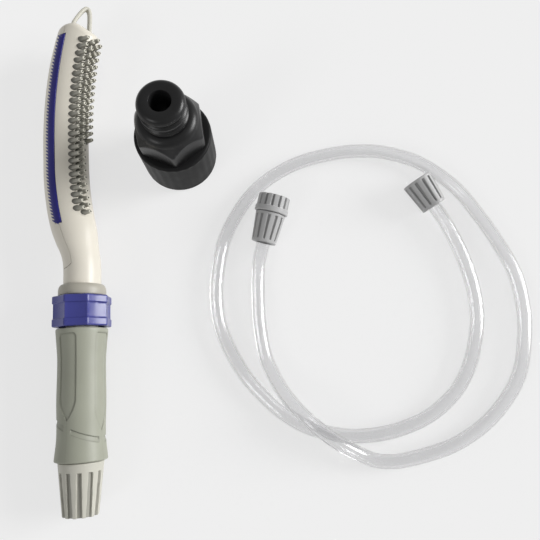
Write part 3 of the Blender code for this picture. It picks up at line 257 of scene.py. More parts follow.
def moulded(
    name, colour, roughness, grain=1400.0, grain_depth=0.015, tint=0.04, edge=0.12, gloss_change=0.08, coat=0.0,
    ior=1.46,
):
    """Moulded plastic or rubber: a fine grain, a slow change of tone, worn-smooth patches, rounded edges, and the
    painted shade and painted highlight that paint() stores on a mesh.

    The grain's depth and the rounding of the edges are in millimetres.
    """
    made, tree, shader = make_material(name)
    link = tree.links.new
    broad = noise_of(tree, TONE_SCALE, 3.0)
    tone = add_node(tree, "ShaderNodeMapRange")
    tone.inputs["From Min"].default_value = 0.3
    tone.inputs["From Max"].default_value = 0.7
    tone.inputs["To Min"].default_value = 1.0 - tint
    tone.inputs["To Max"].default_value = 1.0 + tint
    link(broad.outputs["Fac"], tone.inputs["Value"])
    # Painted shade and painted highlight: the mesh's "shade" attribute darkens the colour, and lightens it where the
    # value is below 0.
    painted = add_node(tree, "ShaderNodeAttribute", attribute_name="shade")
    left = add_node(tree, "ShaderNodeMath", operation="SUBTRACT")
    left.inputs[0].default_value = 1.0
    link(painted.outputs["Fac"], left.inputs[1])
    both = add_node(tree, "ShaderNodeMath", operation="MULTIPLY")
    link(tone.outputs["Result"], both.inputs[0])
    link(left.outputs["Value"], both.inputs[1])
    mix = add_node(tree, "ShaderNodeMix", data_type="RGBA", blend_type="MULTIPLY")
    mix.inputs["Factor"].default_value = 1.0
    mix.inputs["A"].default_value = (*colour, 1.0)
    link(both.outputs["Value"], mix.inputs["B"])
    link(mix.outputs["Result"], shader.inputs["Base Color"])

    patches = noise_of(tree, PATCH_SCALE, 4.0, 0.6)
    change = add_node(tree, "ShaderNodeMapRange")
    change.inputs["To Min"].default_value = max(roughness - gloss_change, 0.02)
    change.inputs["To Max"].default_value = roughness + gloss_change
    link(patches.outputs["Fac"], change.inputs["Value"])
    link(change.outputs["Result"], shader.inputs["Roughness"])

    fine = noise_of(tree, grain, 2.0, 0.6)
    bump = add_node(tree, "ShaderNodeBump", Strength=1.0, Distance=grain_depth * MM)
    link(fine.outputs["Fac"], bump.inputs["Height"])
    if edge:
        rounded = add_node(tree, "ShaderNodeBevel", Radius=edge * MM)
        link(rounded.outputs["Normal"], bump.inputs["Normal"])
    link(bump.outputs["Normal"], shader.inputs["Normal"])
    shader.inputs["IOR"].default_value = ior
    shader.inputs["Coat Weight"].default_value = coat
    shader.inputs["Coat Roughness"].default_value = COAT_ROUGHNESS
    return made


CREAM = moulded("cream_shell", (0.66, 0.625, 0.545), 0.38, grain_depth=0.010, tint=0.02, edge=0.3)
# The loop's cream is the shell's cream darkened as painted shade, for strands that stand in shade.
SHADED_LOOP_CREAM = moulded("cream_loop", (0.50, 0.485, 0.42), 0.45, tint=0.03, edge=0.1)
SAGE = moulded("sage_grip", (0.30, 0.308, 0.25), 0.48, 1600, 0.03, 0.04, 0.15)
STONE = moulded("stone_ring", (0.37, 0.352, 0.30), 0.42, tint=0.03, edge=0.3)
NAVY = moulded("navy_comb", (0.012, 0.011, 0.16), 0.33, 1500, 0.012, 0.08, 0.08)
BLUE = moulded("blue_collar", (0.040, 0.044, 0.225), 0.30, 1300, 0.010, 0.05, 0.2, coat=0.1)
NUBS = moulded("grey_nubs", (0.36, 0.35, 0.30), 0.34, 2200, 0.012, 0.06, 0.0)
BEIGE = moulded("beige_nut", (0.49, 0.48, 0.42), 0.42, tint=0.04)
GREY = moulded("grey_nut", (0.42, 0.42, 0.42), 0.38, tint=0.04)
BLACK = moulded("black_adapter", (0.010, 0.010, 0.0103), 0.34, 1100, 0.02, 0.12, 0.2, ior=1.38)
BLACK_RING = moulded("black_ring", (0.009, 0.009, 0.0093), 0.5, 1100, 0.02, 0.12, 0.2, ior=1.25)
SEAL = moulded("seal_rubber", (0.03, 0.03, 0.03), 0.7, 1500, 0.03, 0.1, 0.1)
INNER = moulded("inner_plastic", (0.72, 0.72, 0.70), 0.4, tint=0.03, edge=0.1)


def clear_vinyl():
    """Clear hose: its wall takes a little light, so it darkens where the eye looks along it."""
    made, tree, shader = make_material("clear_hose")
    shader.inputs["Base Color"].default_value = (0.97, 0.97, 0.975, 1.0)
    shader.inputs["Transmission Weight"].default_value = 1.0
    shader.inputs["Coat Weight"].default_value = 1.0
    shader.inputs["Coat Roughness"].default_value = 0.12
    shader.inputs["IOR"].default_value = 1.22
    haze = noise_of(tree, 60.0, 2.0)
    gloss = add_node(tree, "ShaderNodeMapRange")
    gloss.inputs["To Min"].default_value = 0.10
    gloss.inputs["To Max"].default_value = 0.16
    tree.links.new(haze.outputs["Fac"], gloss.inputs["Value"])
    tree.links.new(gloss.outputs["Result"], shader.inputs["Roughness"])
    wall = add_node(tree, "ShaderNodeVolumeAbsorption")
    wall.inputs["Color"].default_value = (0.5, 0.5, 0.5, 1.0)
    wall.inputs["Density"].default_value = 60.0
    tree.links.new(wall.outputs["Volume"], tree.nodes["Material Output"].inputs["Volume"])
    return made


CLEAR = clear_vinyl()

FINISHES = {
    "cream_shell": CREAM,
    "cream_loop": SHADED_LOOP_CREAM,
    "sage_grip": SAGE,
    "stone_ring": STONE,
    "navy_comb": NAVY,
    "blue_collar": BLUE,
    "grey_nubs": NUBS,
    "beige_nut": BEIGE,
    "grey_nut": GREY,
    "clear_hose": CLEAR,
    "black_adapter": BLACK,
    "seal_rubber": SEAL,
    "inner_plastic": INNER,
}
SLOTS = {part["node"]: part["material_slot"] for part in frame["record"]["subparts"]}
BODY_OF = {node: body for body, members in frame["record"]["behaviour"]["bodies"].items() for node in members}
for node_name, node_object in NODES.items():
    node_object.data.materials.clear()
    node_object.data.materials.append(FINISHES[SLOTS[node_name]])
    node_object.data.shade_smooth()
    node_object.data.set_sharp_from_angle(angle=math.radians(35))


def dress(name, mesh, matrix, node, finish=None, sharp=35):
    """Shows a fine piece in place of a node, on its body and with its finish unless another is given."""
    mesh.transform(matrix)
    piece = bpy.data.objects.new(name, mesh)
    bpy.context.scene.collection.objects.link(piece)
    mesh.materials.clear()
    mesh.materials.append(finish or FINISHES[SLOTS[node]])
    mesh.shade_smooth()
    mesh.set_sharp_from_angle(angle=math.radians(sharp))
    bpy.context.view_layer.update()
    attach(piece, BODY_OF[node])
    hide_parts(node)
    return piece


# ---------------------------------------------------------------- group frames

WAND_ROLL = math.radians(62.5)


def joint_frame(joint_name, along_to_joint, roll=0.0):
    """The frame of a group, from a joint on its axis and how far along the axis that joint is."""
    joint = JOINTS[joint_name]
    along = Vector(joint["axis"]).normalized()
    side = along.cross(Vector((0, 0, 1))).normalized()
    up = side.cross(along)
    forward = up * math.cos(roll) + side * math.sin(roll)
    matrix = Matrix((forward.cross(along), forward, along)).transposed().to_4x4()
    matrix.translation = Vector(joint["pos_m"]) - along * along_to_joint
    return matrix


COLLAR_START, COLLAR_LENGTH = 119.4 * MM, 22.4 * MM
INLET_NUT_LENGTH = 33.2 * MM
TAP_NUT_LENGTH, WAND_NUT_LENGTH = 21.4 * MM, 22.4 * MM
WAND = joint_frame("collar_turn", COLLAR_START + COLLAR_LENGTH / 2, WAND_ROLL)
TAP_END = joint_frame("tap_nut_turn", TAP_NUT_LENGTH / 2)
WAND_END = joint_frame("wand_nut_turn", WAND_NUT_LENGTH / 2)
ADAPTER_TURN = math.radians(8.5)
adapter_at = Vector(JOINTS["adapter_swivel_turn"]["pos_m"])
ADAPTER = Matrix.Translation((adapter_at.x, adapter_at.y, 0)) @ Matrix.Rotation(ADAPTER_TURN, 4, "Z")

# ---------------------------------------------------------------- hose

HOSE_RADIUS = 4.8 * MM
HOSE_BORE = 3.3 * MM
HOSE_REST = HOSE_RADIUS + 0.15 * MM
HOSE_LEAD = 12.0 * MM
HOSE_SIDES, HOSE_STEP = 28, 5.0 * MM
TAP_SEAT, WAND_SEAT = 10.7 * MM, 8.7 * MM
LAYOUT_MIDDLE = (-99.875 * MM, 18.58 * MM)  # where the frame's origin lies among the route's points
HOSE_ROUTE = (  # (x, y, height above the floor) in millimetres, from the tap end to the wand end
    (-8.4, -8.0, 0.6),
    (-8.2, -22.5, 0.0),
    (-7.2, -38.6, 0.0),
    (-3.9, -58.7, 0.3),
    (1.0, -71.5, 1.0),
    (6.6, -82.0, 2.7),
    (12.6, -90.4, 5.4),
    (18.7, -97.6, 8.3),
    (24.6, -103.3, 10.2),
    (31.4, -108.9, 10.7),
    (39.6, -115.0, 10.0),
    (48.9, -120.8, 7.8),
    (56.4, -124.6, 5.0),
    (64.3, -128.1, 2.4),
    (73.2, -130.7, 0.8),
    (90.4, -130.0, 0.0),
    (121.5, -121.0, 0.0),
    (145.4, -106.1, 0.0),
    (162.4, -87.7, 0.0),
    (171.8, -70.2, 0.0),
    (176.6, -46.3, 0.0),
    (177.1, -26.0, 0.0),
    (173.3, -3.5, 0.0),
    (162.8, 19.0, 0.0),
    (148.8, 41.9, 0.0),
    (133.5, 61.7, 0.0),
    (109.4, 79.5, 0.0),
    (83.8, 87.6, 0.0),
    (66.3, 88.6, 0.0),
    (50.0, 87.2, 0.0),
    (24.5, 80.8, 0.0),
    (3.2, 69.9, 0.0),
    (-13.9, 54.8, 0.0),
    (-26.0, 36.2, 0.0),
    (-33.6, 17.4, 0.0),
    (-37.3, -7.5, 0.0),
    (-37.0, -26.0, 0.0),
    (-34.2, -41.0, 0.0),
    (-27.7, -56.6, 0.0),
    (-16.5, -75.0, 0.0),
    (-0.7, -91.7, 0.0),
    (12.7, -102.3, 0.0),
    (27.5, -109.6, 0.0),
    (44.0, -113.5, 0.0),
    (60.3, -114.6, 0.0),
    (83.5, -111.3, 0.0),
    (107.2, -101.6, 0.0),
    (126.0, -85.7, 0.0),
    (137.4, -66.2, 0.0),
    (143.6, -42.8, 0.0),
    (144.4, -26.0, 0.0),
    (142.2, -9.0, 0.0),
    (137.0, 9.0, 0.5),
    (131.0, 22.6, 1.5),
)


def hose_ends(matrix, seat):
    """The straight end of the hose inside a connector, from its seat outwards."""
    return [matrix @ Vector((0, 0, along)) for along in (seat, 0.0, -HOSE_LEAD)]


def make_hose():
    """The hose from seat to seat, the points of its middle line, its length and the pieces on its ends."""
    middle = Vector((*LAYOUT_MIDDLE, -HOSE_REST))
    laid = [Vector((x * MM, y * MM, lift * MM)) - middle for x, y, lift in HOSE_ROUTE]
    route = hose_ends(TAP_END, TAP_SEAT) + laid + hose_ends(WAND_END, WAND_SEAT)[::-1]
    points = smooth_path(route, HOSE_STEP)
    outer, inner = [], []
    for i, point in enumerate(points):
        along = (points[min(i + 1, len(points) - 1)] - points[max(i - 1, 0)]).normalized()
        side = along.cross(Vector((0, 0, 1))).normalized()
        up = side.cross(along)
        for rings, radius in ((outer, HOSE_RADIUS), (inner, HOSE_BORE)):
            angles = [TURN * k / HOSE_SIDES for k in range(HOSE_SIDES)]
            rings.append([point + radius * (side * math.cos(a) + up * math.sin(a)) for a in angles])
    hose = dress("clear_hose", ring_mesh("clear_hose", outer + inner[::-1]), Matrix(), "hose")
    length = sum((b - a).length for a, b in zip(points, points[1:]))
    with_pieces = [
        "tap_nut", "tap_ring", "wand_end_clamp_nut", "tap_end_tailpiece", "tap_end_washer", "tap_end_clamp_ring",
        "wand_end_tailpiece", "wand_end_washer", "wand_end_clamp_ring",
    ]
    return hose, points, length, with_pieces


hose_piece, hose_points, hose_length, hose_fittings = make_hose()

# ---------------------------------------------------------------- grip

GRIP_START, GRIP_END = 33.7 * MM, 118.3 * MM
SKIRT_RADIUS, WAIST_RADIUS, BELLY_RADIUS, LIP_RADIUS = 16.95 * MM, 15.5 * MM, 15.75 * MM, 16.9 * MM
CORE_RADIUS = 12.4 * MM
PATTERN_TURN = math.radians(36)
PANELS = 4
PANEL_DEPTH = 0.6 * MM
PANEL_TOP = 115.2 * MM
PANEL_TAPER = 15.0 * MM
PANEL_HALF = math.radians(23)
SLOT_HEIGHT, SLOT_DEPTH, SLOT_HALF = 3.6 * MM, 0.8 * MM, math.radians(35)
SLOT_MIDDLE, SLOT_TILT, SLOT_HIGH_SIDE = 53.2 * MM, 6.6 * MM, math.radians(165)
TIP_OVER_SLOT = 5.3 * MM
GRIP_SIDES = 256
# Painted shade along the panel edges, on the slot floors and along the slot edges, where the recesses take shade.
PANEL_LINE_SHADE, SLOT_FLOOR_SHADE, SLOT_LINE_SHADE = 0.18, 0.06, 0.3
GRIP_FORM = (
    (0.0, SKIRT_RADIUS),
    (0.177, WAIST_RADIUS),
    (0.449, BELLY_RADIUS),
    (0.752, WAIST_RADIUS),
    (0.870, blend(WAIST_RADIUS, LIP_RADIUS, 0.45)),
    (0.976, LIP_RADIUS),
)


def slot_lift(angle):
    """How far the ring of slots rises or falls at an angle."""
    return SLOT_TILT * math.cos(angle - SLOT_HIGH_SIDE)


def panel_inside(height, angle, k):
    """How far a place lies inside a sunk panel's edge: less than 0 outside it."""
    middle = PATTERN_TURN + TURN * (k + 0.5) / PANELS
    aside = off_angle(angle, middle)
    tip = SLOT_MIDDLE + TIP_OVER_SLOT + slot_lift(middle)
    share = min(max((height - tip) / PANEL_TAPER, 0.0), 1.0)
    top = min(max((PANEL_TOP - height) / (2.5 * MM), 0.0), 1.0)
    half = PANEL_HALF * math.sin(share * math.pi / 2) * (0.7 + 0.3 * math.sqrt(top))
    return min((half - aside) * WAIST_RADIUS, PANEL_TOP - height)


def slot_inside(height, angle, k):
    """How far a place lies inside a slot's edge: less than 0 outside it."""
    aside = off_angle(angle, PATTERN_TURN + TURN * k / PANELS)
    above = height - SLOT_MIDDLE - slot_lift(angle)
    return min((SLOT_HALF - aside) * WAIST_RADIUS, SLOT_HEIGHT / 2 - abs(above))


def ridge(inside, middle, spread):
    """1 on a line that runs inside an edge, fading to both sides."""
    return math.exp(-(((inside - middle) / spread) ** 2))


def grip_radius(height, angle):
    radius = smooth_value(GRIP_FORM, (height - GRIP_START) / (GRIP_END - GRIP_START))
    sunk = 0.0
    for k in range(PANELS):
        inside = panel_inside(height, angle, k)
        sunk = max(sunk, PANEL_DEPTH * step_up(0, 0.5 * MM, inside))
        sunk += 0.22 * MM * ridge(inside, 0.5 * MM, 0.35 * MM) if inside > 0 else 0.0
        inside = slot_inside(height, angle, k)
        above = height - SLOT_MIDDLE - slot_lift(angle)
        floor = SLOT_DEPTH * (0.6 + 0.8 * above / SLOT_HEIGHT)
        sunk = max(sunk, floor * step_up(0, 0.35 * MM, inside))
    rounding = edge_rounding(0.8 * MM, height - GRIP_START, 0.9 * MM)
    rounding += edge_rounding(0.5 * MM, GRIP_END - height, 1.1 * MM)
    return radius - sunk - rounding


def grip_shade(height, angle):
    """Painted shade: darker in the slots and along the edges of the panels and slots."""
    dark = 0.0
    for k in range(PANELS):
        dark = max(dark, PANEL_LINE_SHADE * ridge(panel_inside(height, angle, k), 0.3 * MM, 0.45 * MM))
        inside = slot_inside(height, angle, k)
        dark = max(dark, SLOT_FLOOR_SHADE * step_up(0, 0.4 * MM, inside))
        dark = max(dark, SLOT_LINE_SHADE * ridge(inside, 0.2 * MM, 0.35 * MM))
    return dark


def make_grip():
    heights = steps(GRIP_START, GRIP_START + 1 * MM, 0.2 * MM) + steps(GRIP_START + 1.5 * MM, 44 * MM, 1.5 * MM)
    heights += steps(44.4 * MM, 63 * MM, 0.4 * MM) + steps(63.6 * MM, 80 * MM, 0.9 * MM)
    heights += steps(82 * MM, 111 * MM, 2.4 * MM) + steps(111.5 * MM, 117 * MM, 0.4 * MM)
    heights += steps(117.2 * MM, GRIP_END, 0.18 * MM)
    bore = [(CORE_RADIUS + 1.5 * GAP, GRIP_END), (CORE_RADIUS + 1.5 * GAP, GRIP_START)]
    cover = field_tube("grip_cover", heights, grip_radius, bore, GRIP_SIDES, grip_shade)
    dress("grip_cover", cover, WAND, "grip_sleeve")


make_grip()

# ---------------------------------------------------------------- collar and neck ring

COLLAR_RADIUS, COLLAR_RIM, COLLAR_SUNK, COLLAR_HOLLOW, COLLAR_SIDES = 19.6 * MM, 4.8 * MM, 0.9 * MM, 0.4 * MM, 8
COLLAR_BORE = 14.9 * MM
COLLAR_TOP = COLLAR_START + 20.6 * MM
COLLAR_FINENESS = 192


def collar_radius(height, angle):
    """Eight faces, each a little hollow, with a sunk band between two rims."""
    face = TURN / COLLAR_SIDES
    off = off_angle((angle - PATTERN_TURN) % face, face / 2)
    flat = COLLAR_RADIUS * math.cos(face / 2) / math.cos(off)
    hollow = COLLAR_HOLLOW * (1 - (off / (face / 2)) ** 2)
    over = min(height - COLLAR_START, COLLAR_TOP - height)
    rounding = edge_rounding(1.0 * MM, over, 1.1 * MM)
    panel = step_up(COLLAR_RIM, COLLAR_RIM + 0.8 * MM, over)
    flank = step_up(face / 2, face / 2 - 0.05, off) if off < face / 2 else 0.0
    return min(flat, COLLAR_RADIUS - 0.12 * MM) - hollow - rounding - panel * COLLAR_SUNK * (0.75 + 0.25 * flank)


def make_collar():
    low, high = COLLAR_START + COLLAR_RIM, COLLAR_TOP - COLLAR_RIM
    heights = steps(COLLAR_START, COLLAR_START + 1.2 * MM, 0.2 * MM)
    heights += steps(COLLAR_START + 2.4 * MM, low - 0.3 * MM, 1.1 * MM) + steps(low, low + 0.8 * MM, 0.2 * MM)
    heights += steps(low + 1.6 * MM, high - 1.6 * MM, 1.5 * MM) + steps(high - 0.8 * MM, high, 0.2 * MM)
    heights += steps(high + 0.3 * MM, COLLAR_TOP - 2.4 * MM, 1.1 * MM)
    heights += steps(COLLAR_TOP - 1.2 * MM, COLLAR_TOP, 0.2 * MM)
    bore = [(COLLAR_BORE, COLLAR_TOP), (COLLAR_BORE, COLLAR_START)]
    cover = field_tube("collar_cover", heights, collar_radius, bore, COLLAR_FINENESS)
    dress("collar_cover", cover, WAND, "flow_collar")


make_collar()

NECK_LOW, NECK_LENGTH, NECK_RADIUS = 140.4 * MM, 7.4 * MM, 15.7 * MM
NECK_EDGE, NECK_LIP = 0.6 * MM, 0.7 * MM
THROAT_RADIUS = 12.4 * MM


def make_neck_ring():
    """A ring with a rounded foot and a domed top that ends in a narrow lip on the throat."""
    bore = THROAT_RADIUS + GAP
    flat = NECK_RADIUS - NECK_EDGE
    outline = [(bore, NECK_LOW), (flat, NECK_LOW)]
    for k in range(1, 5):
        a = TURN / 4 * k / 4
        outline.append((flat + NECK_EDGE * math.sin(a), NECK_LOW + NECK_EDGE * (1 - math.cos(a))))
    straight = NECK_LENGTH * 0.4
    reach = NECK_RADIUS - bore - NECK_LIP
    for k in range(13):
        a = TURN / 4 * k / 12
        rise = (NECK_LENGTH - straight) * math.sin(a)
        outline.append((bore + NECK_LIP + reach * math.cos(a), NECK_LOW + straight + rise))
    outline.append((bore, NECK_LOW + NECK_LENGTH))
    dress("neck_cover", turned_mesh("neck_cover", outline, 96), WAND, "neck_ring")


make_neck_ring()

# ---------------------------------------------------------------- head

HEAD_RADIUS, HEAD_WALL = 15.0 * MM, 2.4 * MM
SHELL_START = COLLAR_START + COLLAR_LENGTH + 2 * GAP + 0.4 * MM
HEAD_START, HEAD_END = 158.0 * MM, 341.0 * MM
TIP_SLOPE, TIP_FLAT, TIP_SLOPE_START, TIP_ROUND = 10.5 * MM, 3.3 * MM, HEAD_END - 33.0 * MM, 5.0 * MM
TIP_FLAT_DEPTH, TIP_SLOPE_DEPTH = 0.33, 0.95  # shares of the head's radius between which the tip slopes down
TIP_CLOSING = (0.5, 0.3, 0.1)  # rings on the flat end, which the cuts need
TONGUE_END, TONGUE_ROUND, PARTING_HEIGHT = 157.5 * MM, 4.5 * MM, 2.4 * MM
HEAD_BOW = (  # (share of the head's length, how far the head's middle bows to the back)
    (0.0, 0.0 * MM),
    (0.036, 0.7 * MM),
    (0.068, 2.4 * MM),
    (0.104, 5.1 * MM),
    (0.161, 8.6 * MM),
    (0.239, 12.5 * MM),
    (0.346, 15.9 * MM),
    (0.448, 17.0 * MM),
    (0.557, 17.5 * MM),
    (0.672, 16.6 * MM),
    (0.814, 13.1 * MM),
    (0.945, 7.8 * MM),
    (1.0, 5.4 * MM),
)
HEAD_GROWTH = (  # (share of the head's length, share of the swell from the throat)
    (0.022, 0.0),
    (0.066, 0.16),
    (0.104, 0.5),
    (0.158, 0.9),
    (0.230, 1.0),
)
HEAD_TAPER = ((0.770, 0.0), (0.891, 0.4 * MM), (1.0, 1.2 * MM))
HEAD_PLACES = steps(HEAD_START, HEAD_END - 9 * MM, 3.0 * MM)
HEAD_SIDES = 80
FRONT_SWELL = 2.6 * MM
SEAT_REACH = 4.0 * MM


def head_share(height):
    return (height - HEAD_START) / (HEAD_END - HEAD_START)


def head_middle(height):
    return -smooth_value(HEAD_BOW, head_share(height))


def head_radius(height):
    swell = (HEAD_RADIUS - THROAT_RADIUS) * smooth_value(HEAD_GROWTH, head_share(height))
    return THROAT_RADIUS + swell - smooth_value(HEAD_TAPER, head_share(height))


def front_swell(height, share):
    """How much deeper the head is on the nub side, from how far round to that side a point lies."""
    return FRONT_SWELL * smooth_value(HEAD_GROWTH, head_share(height)) * max(share, 0.0) ** 2


def tip_drop(height, depth):
    """How much the tip is set back at a depth towards the nubs: little at the rear, and a slope on the nub side."""
    share = min(max((height - TIP_SLOPE_START) / (HEAD_END - TIP_SLOPE_START), 0.0), 1.0)
    across = step_up(TIP_FLAT_DEPTH * HEAD_RADIUS, TIP_SLOPE_DEPTH * HEAD_RADIUS, depth)
    return share * blend(TIP_FLAT, TIP_SLOPE, across)


def before_slope(height):
    """The place along the head whose nub side is sloped back to this height."""
    slope = TIP_SLOPE / (HEAD_END - TIP_SLOPE_START)
    return height + max(height - TIP_SLOPE_START, 0.0) * slope / (1 - slope)


def head_solid(name, inset, start):
    """The whole head from a start height to its rounded tip, all of it set in by an inset."""

    def section(height, radius):
        ring = [around(radius, TURN * i / HEAD_SIDES, height, head_middle(height)) for i in range(HEAD_SIDES)]
        for point in ring:
            depth = point.y - head_middle(height)
            point.z -= tip_drop(height, depth)
            point.y += front_swell(height, depth / head_radius(height))
        return ring

    rings = [section(h, head_radius(h) - inset) for h in [start, *HEAD_PLACES]]
    top, rounding = HEAD_END - inset, TIP_ROUND - inset
    for k in range(13):
        a = TURN / 4 * k / 12
        share = 0.70 + 0.30 * math.cos(a) ** 0.8
        rings.append(section(top - rounding * (1 - math.sin(a)), (head_radius(top) - inset) * share))
    rings += [section(top, (head_radius(top) - inset) * share) for share in TIP_CLOSING]
    return ring_mesh(name, rings, wrap=False, caps=True)


def parting(height):
    """The level that parts the two shells: the front one ends in a rounded tongue on the throat."""
    level = head_middle(height) + PARTING_HEIGHT
    share = min(max((height - TONGUE_END) / TONGUE_ROUND, 0.0), 1.0)
    return blend(-THROAT_RADIUS - 2 * MM, level, math.sqrt(1 - (1 - share) ** 2))


def parting_block(rear, shift):
    """All that lies behind the parting line, or all in front of it and below the tongue, set off by a shift."""
    wide, deep = 2 * HEAD_RADIUS, 3 * HEAD_RADIUS
    heights = [TONGUE_END + TONGUE_ROUND * (1 - math.cos(TURN / 4 * k / 12)) for k in range(13)]
    heights += [h for h in HEAD_PLACES if h > heights[-1] + 1 * MM] + [HEAD_END + HEAD_RADIUS]

    def section(low, high, height):
        return [Vector((x, y, height)) for x, y in ((-wide, low), (wide, low), (wide, high), (-wide, high))]

    rings = []
    if not rear:
        first = TONGUE_END + shift
        rings = [section(-deep, deep, first - deep), section(-deep, deep, first - 0.01 * MM)]
    for height in heights:
        level = parting(height) - (0 if rear else shift)
        low, high = (-deep, level) if rear else (level, deep)
        rings.append(section(low, high, height if rear else height + shift))
    return ring_mesh("block", rings, wrap=False, caps=True)


# Combs: a plain band on the side of the head, with slanted teeth along its rear edge
COMB_START, COMB_END, COMB_TEETH = HEAD_START + 32.0 * MM, HEAD_END - 12.1 * MM, 57
COMB_EDGE, COMB_ROOT, COMB_TIP = math.radians(73.5), math.radians(95), math.radians(104.5)
COMB_SLANT, COMB_DEPTH, COMB_PROUD, COMB_END_ROUND = 1.5 * MM, 1.2 * MM, 0.5 * MM, 1.2 * MM
COMB_BAND = (  # (share of the way across, share of the height)
    (0.0, 0.0),
    (0.0, 0.75),
    (0.03, 0.93),
    (0.09, 1.0),
    (0.35, 1.0),
    (0.65, 1.0),
    (0.92, 0.95),
    (1.0, 0.8),
    (1.0, 0.0),
)
TOOTH_RINGS = (  # (share of the way out, half width as a share of the pitch, height), from under the band to the tip
    (-1.2, 0.26, 1.05),
    (-0.06, 0.33, 1.05),
    (0.4, 0.29, 0.98),
    (0.8, 0.23, 0.92),
    (1.0, 0.15, 0.75),
)
TOOTH_BACK = ((-1, 0.0), (-1, 0.7), (-0.7, 0.93), (0, 1.0), (0.7, 0.93), (1, 0.7), (1, 0.0))  # (across, height)


def comb_seat(side):
    """The recess under the plain band. The teeth lie on the shell."""
    spread = GAP / HEAD_RADIUS
    rings = []
    for height in steps(COMB_START - GAP, COMB_END + GAP, 4 * MM):
        radius, middle = head_radius(height), head_middle(height)
        angles = [side * blend(COMB_EDGE - spread, COMB_ROOT + spread / 2, k / 8) for k in range(9)]
        ring = [around(radius + SEAT_REACH, a, height, middle) for a in angles]
        rings.append(ring + [around(radius - COMB_DEPTH - GAP, a, height, middle) for a in reversed(angles)])
    return ring_mesh("seat", rings, wrap=False, caps=True)


def comb_mesh(name, side):
    """A plain band with rounded edges, and slanted teeth with rounded backs along its rear side."""
    pitch = (COMB_END - COMB_START) / COMB_TEETH

    def place(along, angle, proud):
        return around(head_radius(along) + proud, side * angle, along, head_middle(along))

    bm = bmesh.new()
    rings = []
    for along in steps(COMB_START, COMB_END, 1.6 * MM):
        near_end = min((along - COMB_START) / COMB_END_ROUND, (COMB_END - along) / COMB_END_ROUND, 1.0)
        lid = 0.72 + 0.28 * math.sqrt(max(near_end, 0.0))
        ring = []
        for share, level in COMB_BAND:
            proud = blend(-COMB_DEPTH, COMB_PROUD, level * (lid if level else 1.0))
            ring.append(place(along, blend(COMB_EDGE, COMB_ROOT, share), proud))
        rings.append(ring)
    add_rings(bm, rings, caps=True)
    for i in range(COMB_TEETH):
        low = COMB_START + pitch * i
        rings = []
        for share, width, top in TOOTH_RINGS:
            middle = low + pitch / 2 + COMB_SLANT * share
            angle = blend(COMB_ROOT, COMB_TIP, share)
            ring = []
            for along, level in TOOTH_BACK:
                proud = blend(-COMB_DEPTH, COMB_PROUD, level * top)
                ring.append(place(middle + along * width * pitch, angle, proud))
            rings.append(ring)
        add_rings(bm, rings, caps=True)
    return mesh_of(bm, name)


# Nub pad
NUB_PITCH, NUB_COLUMN_GAP, NUB_FIRST_COLUMN, NUB_TOP_ROW = 4.97 * MM, 3.55 * MM, 7.6 * MM, HEAD_END - 17.0 * MM
NUB_COLUMNS, NUB_ROWS, NUB_TAIL_COLUMNS, NUB_TAIL_ROWS = 4, 15, 2, 11
NUB_HEIGHT, NUB_FOOT_SHARE = 5.8 * MM, 0.12


def nub_places():
    """Each nub's place across and along. Every other column stands half a pitch lower, and two run on as a tail."""
    places = []
    for column in range(NUB_COLUMNS):
        rows = NUB_ROWS + (NUB_TAIL_ROWS if column < NUB_TAIL_COLUMNS else 0)
        for row in range(rows):
            along = NUB_TOP_ROW - NUB_PITCH * (row + 0.5 * (column % 2))
            places.append((NUB_FIRST_COLUMN - NUB_COLUMN_GAP * column, along))
    return places


# The shade column is painted shade on the foot ring, the lower stem and in the water hole, and a painted highlight
# (minus values) on the rounded tip.
NUB_PROFILE = (  # (radius in millimetres, share of the height, shade): foot ring, stem, rounded tip and water hole
    (2.5, -0.14, 0.7),
    (2.4, 0.005, 0.68),
    (2.0, 0.03, 0.62),
    (1.78, 0.08, 0.45),
    (1.66, 0.2, 0.25),
    (1.5, 0.5, 0.0),
    (1.36, 0.8, -0.08),
    (1.3, 0.9, -0.4),
    (1.16, 0.96, -0.9),
    (0.92, 0.995, -1.0),
    (0.66, 1.0, -0.4),
    (0.56, 0.97, 0.25),
    (0.54, 0.8, 0.55),
)
NUB_SIDES = 14


def make_nubs():
    """Each nub stands on the front shell, with a ring of painted shade round its foot that follows the shell, painted
    shade on its lower stem and in its water hole, and a painted highlight on its tip.
    """
    bm = bmesh.new()
    shades = []
    for x, along in nub_places():
        radius, middle = head_radius(before_slope(along)), head_middle(before_slope(along))
        base = middle + math.sqrt(radius**2 - x**2) + front_swell(along, math.sqrt(1 - (x / radius) ** 2))
        slant = -x / math.sqrt(radius**2 - x**2)
        rings = []
        for size, share, shade in NUB_PROFILE:
            follow = step_up(NUB_FOOT_SHARE, 0.0, share) if share < NUB_FOOT_SHARE else 0.0
            ring = []
            for k in range(NUB_SIDES):
                a = TURN * k / NUB_SIDES
                across, ahead = size * MM * math.cos(a), size * MM * math.sin(a)
                level = base + NUB_HEIGHT * share + slant * across * follow
                ring.append(Vector((x + across, level, along + ahead)))
            rings.append(ring)
            shades += [shade] * NUB_SIDES
        add_rings(bm, rings, caps=True)
    return paint(mesh_of(bm, "water_nubs"), shades)


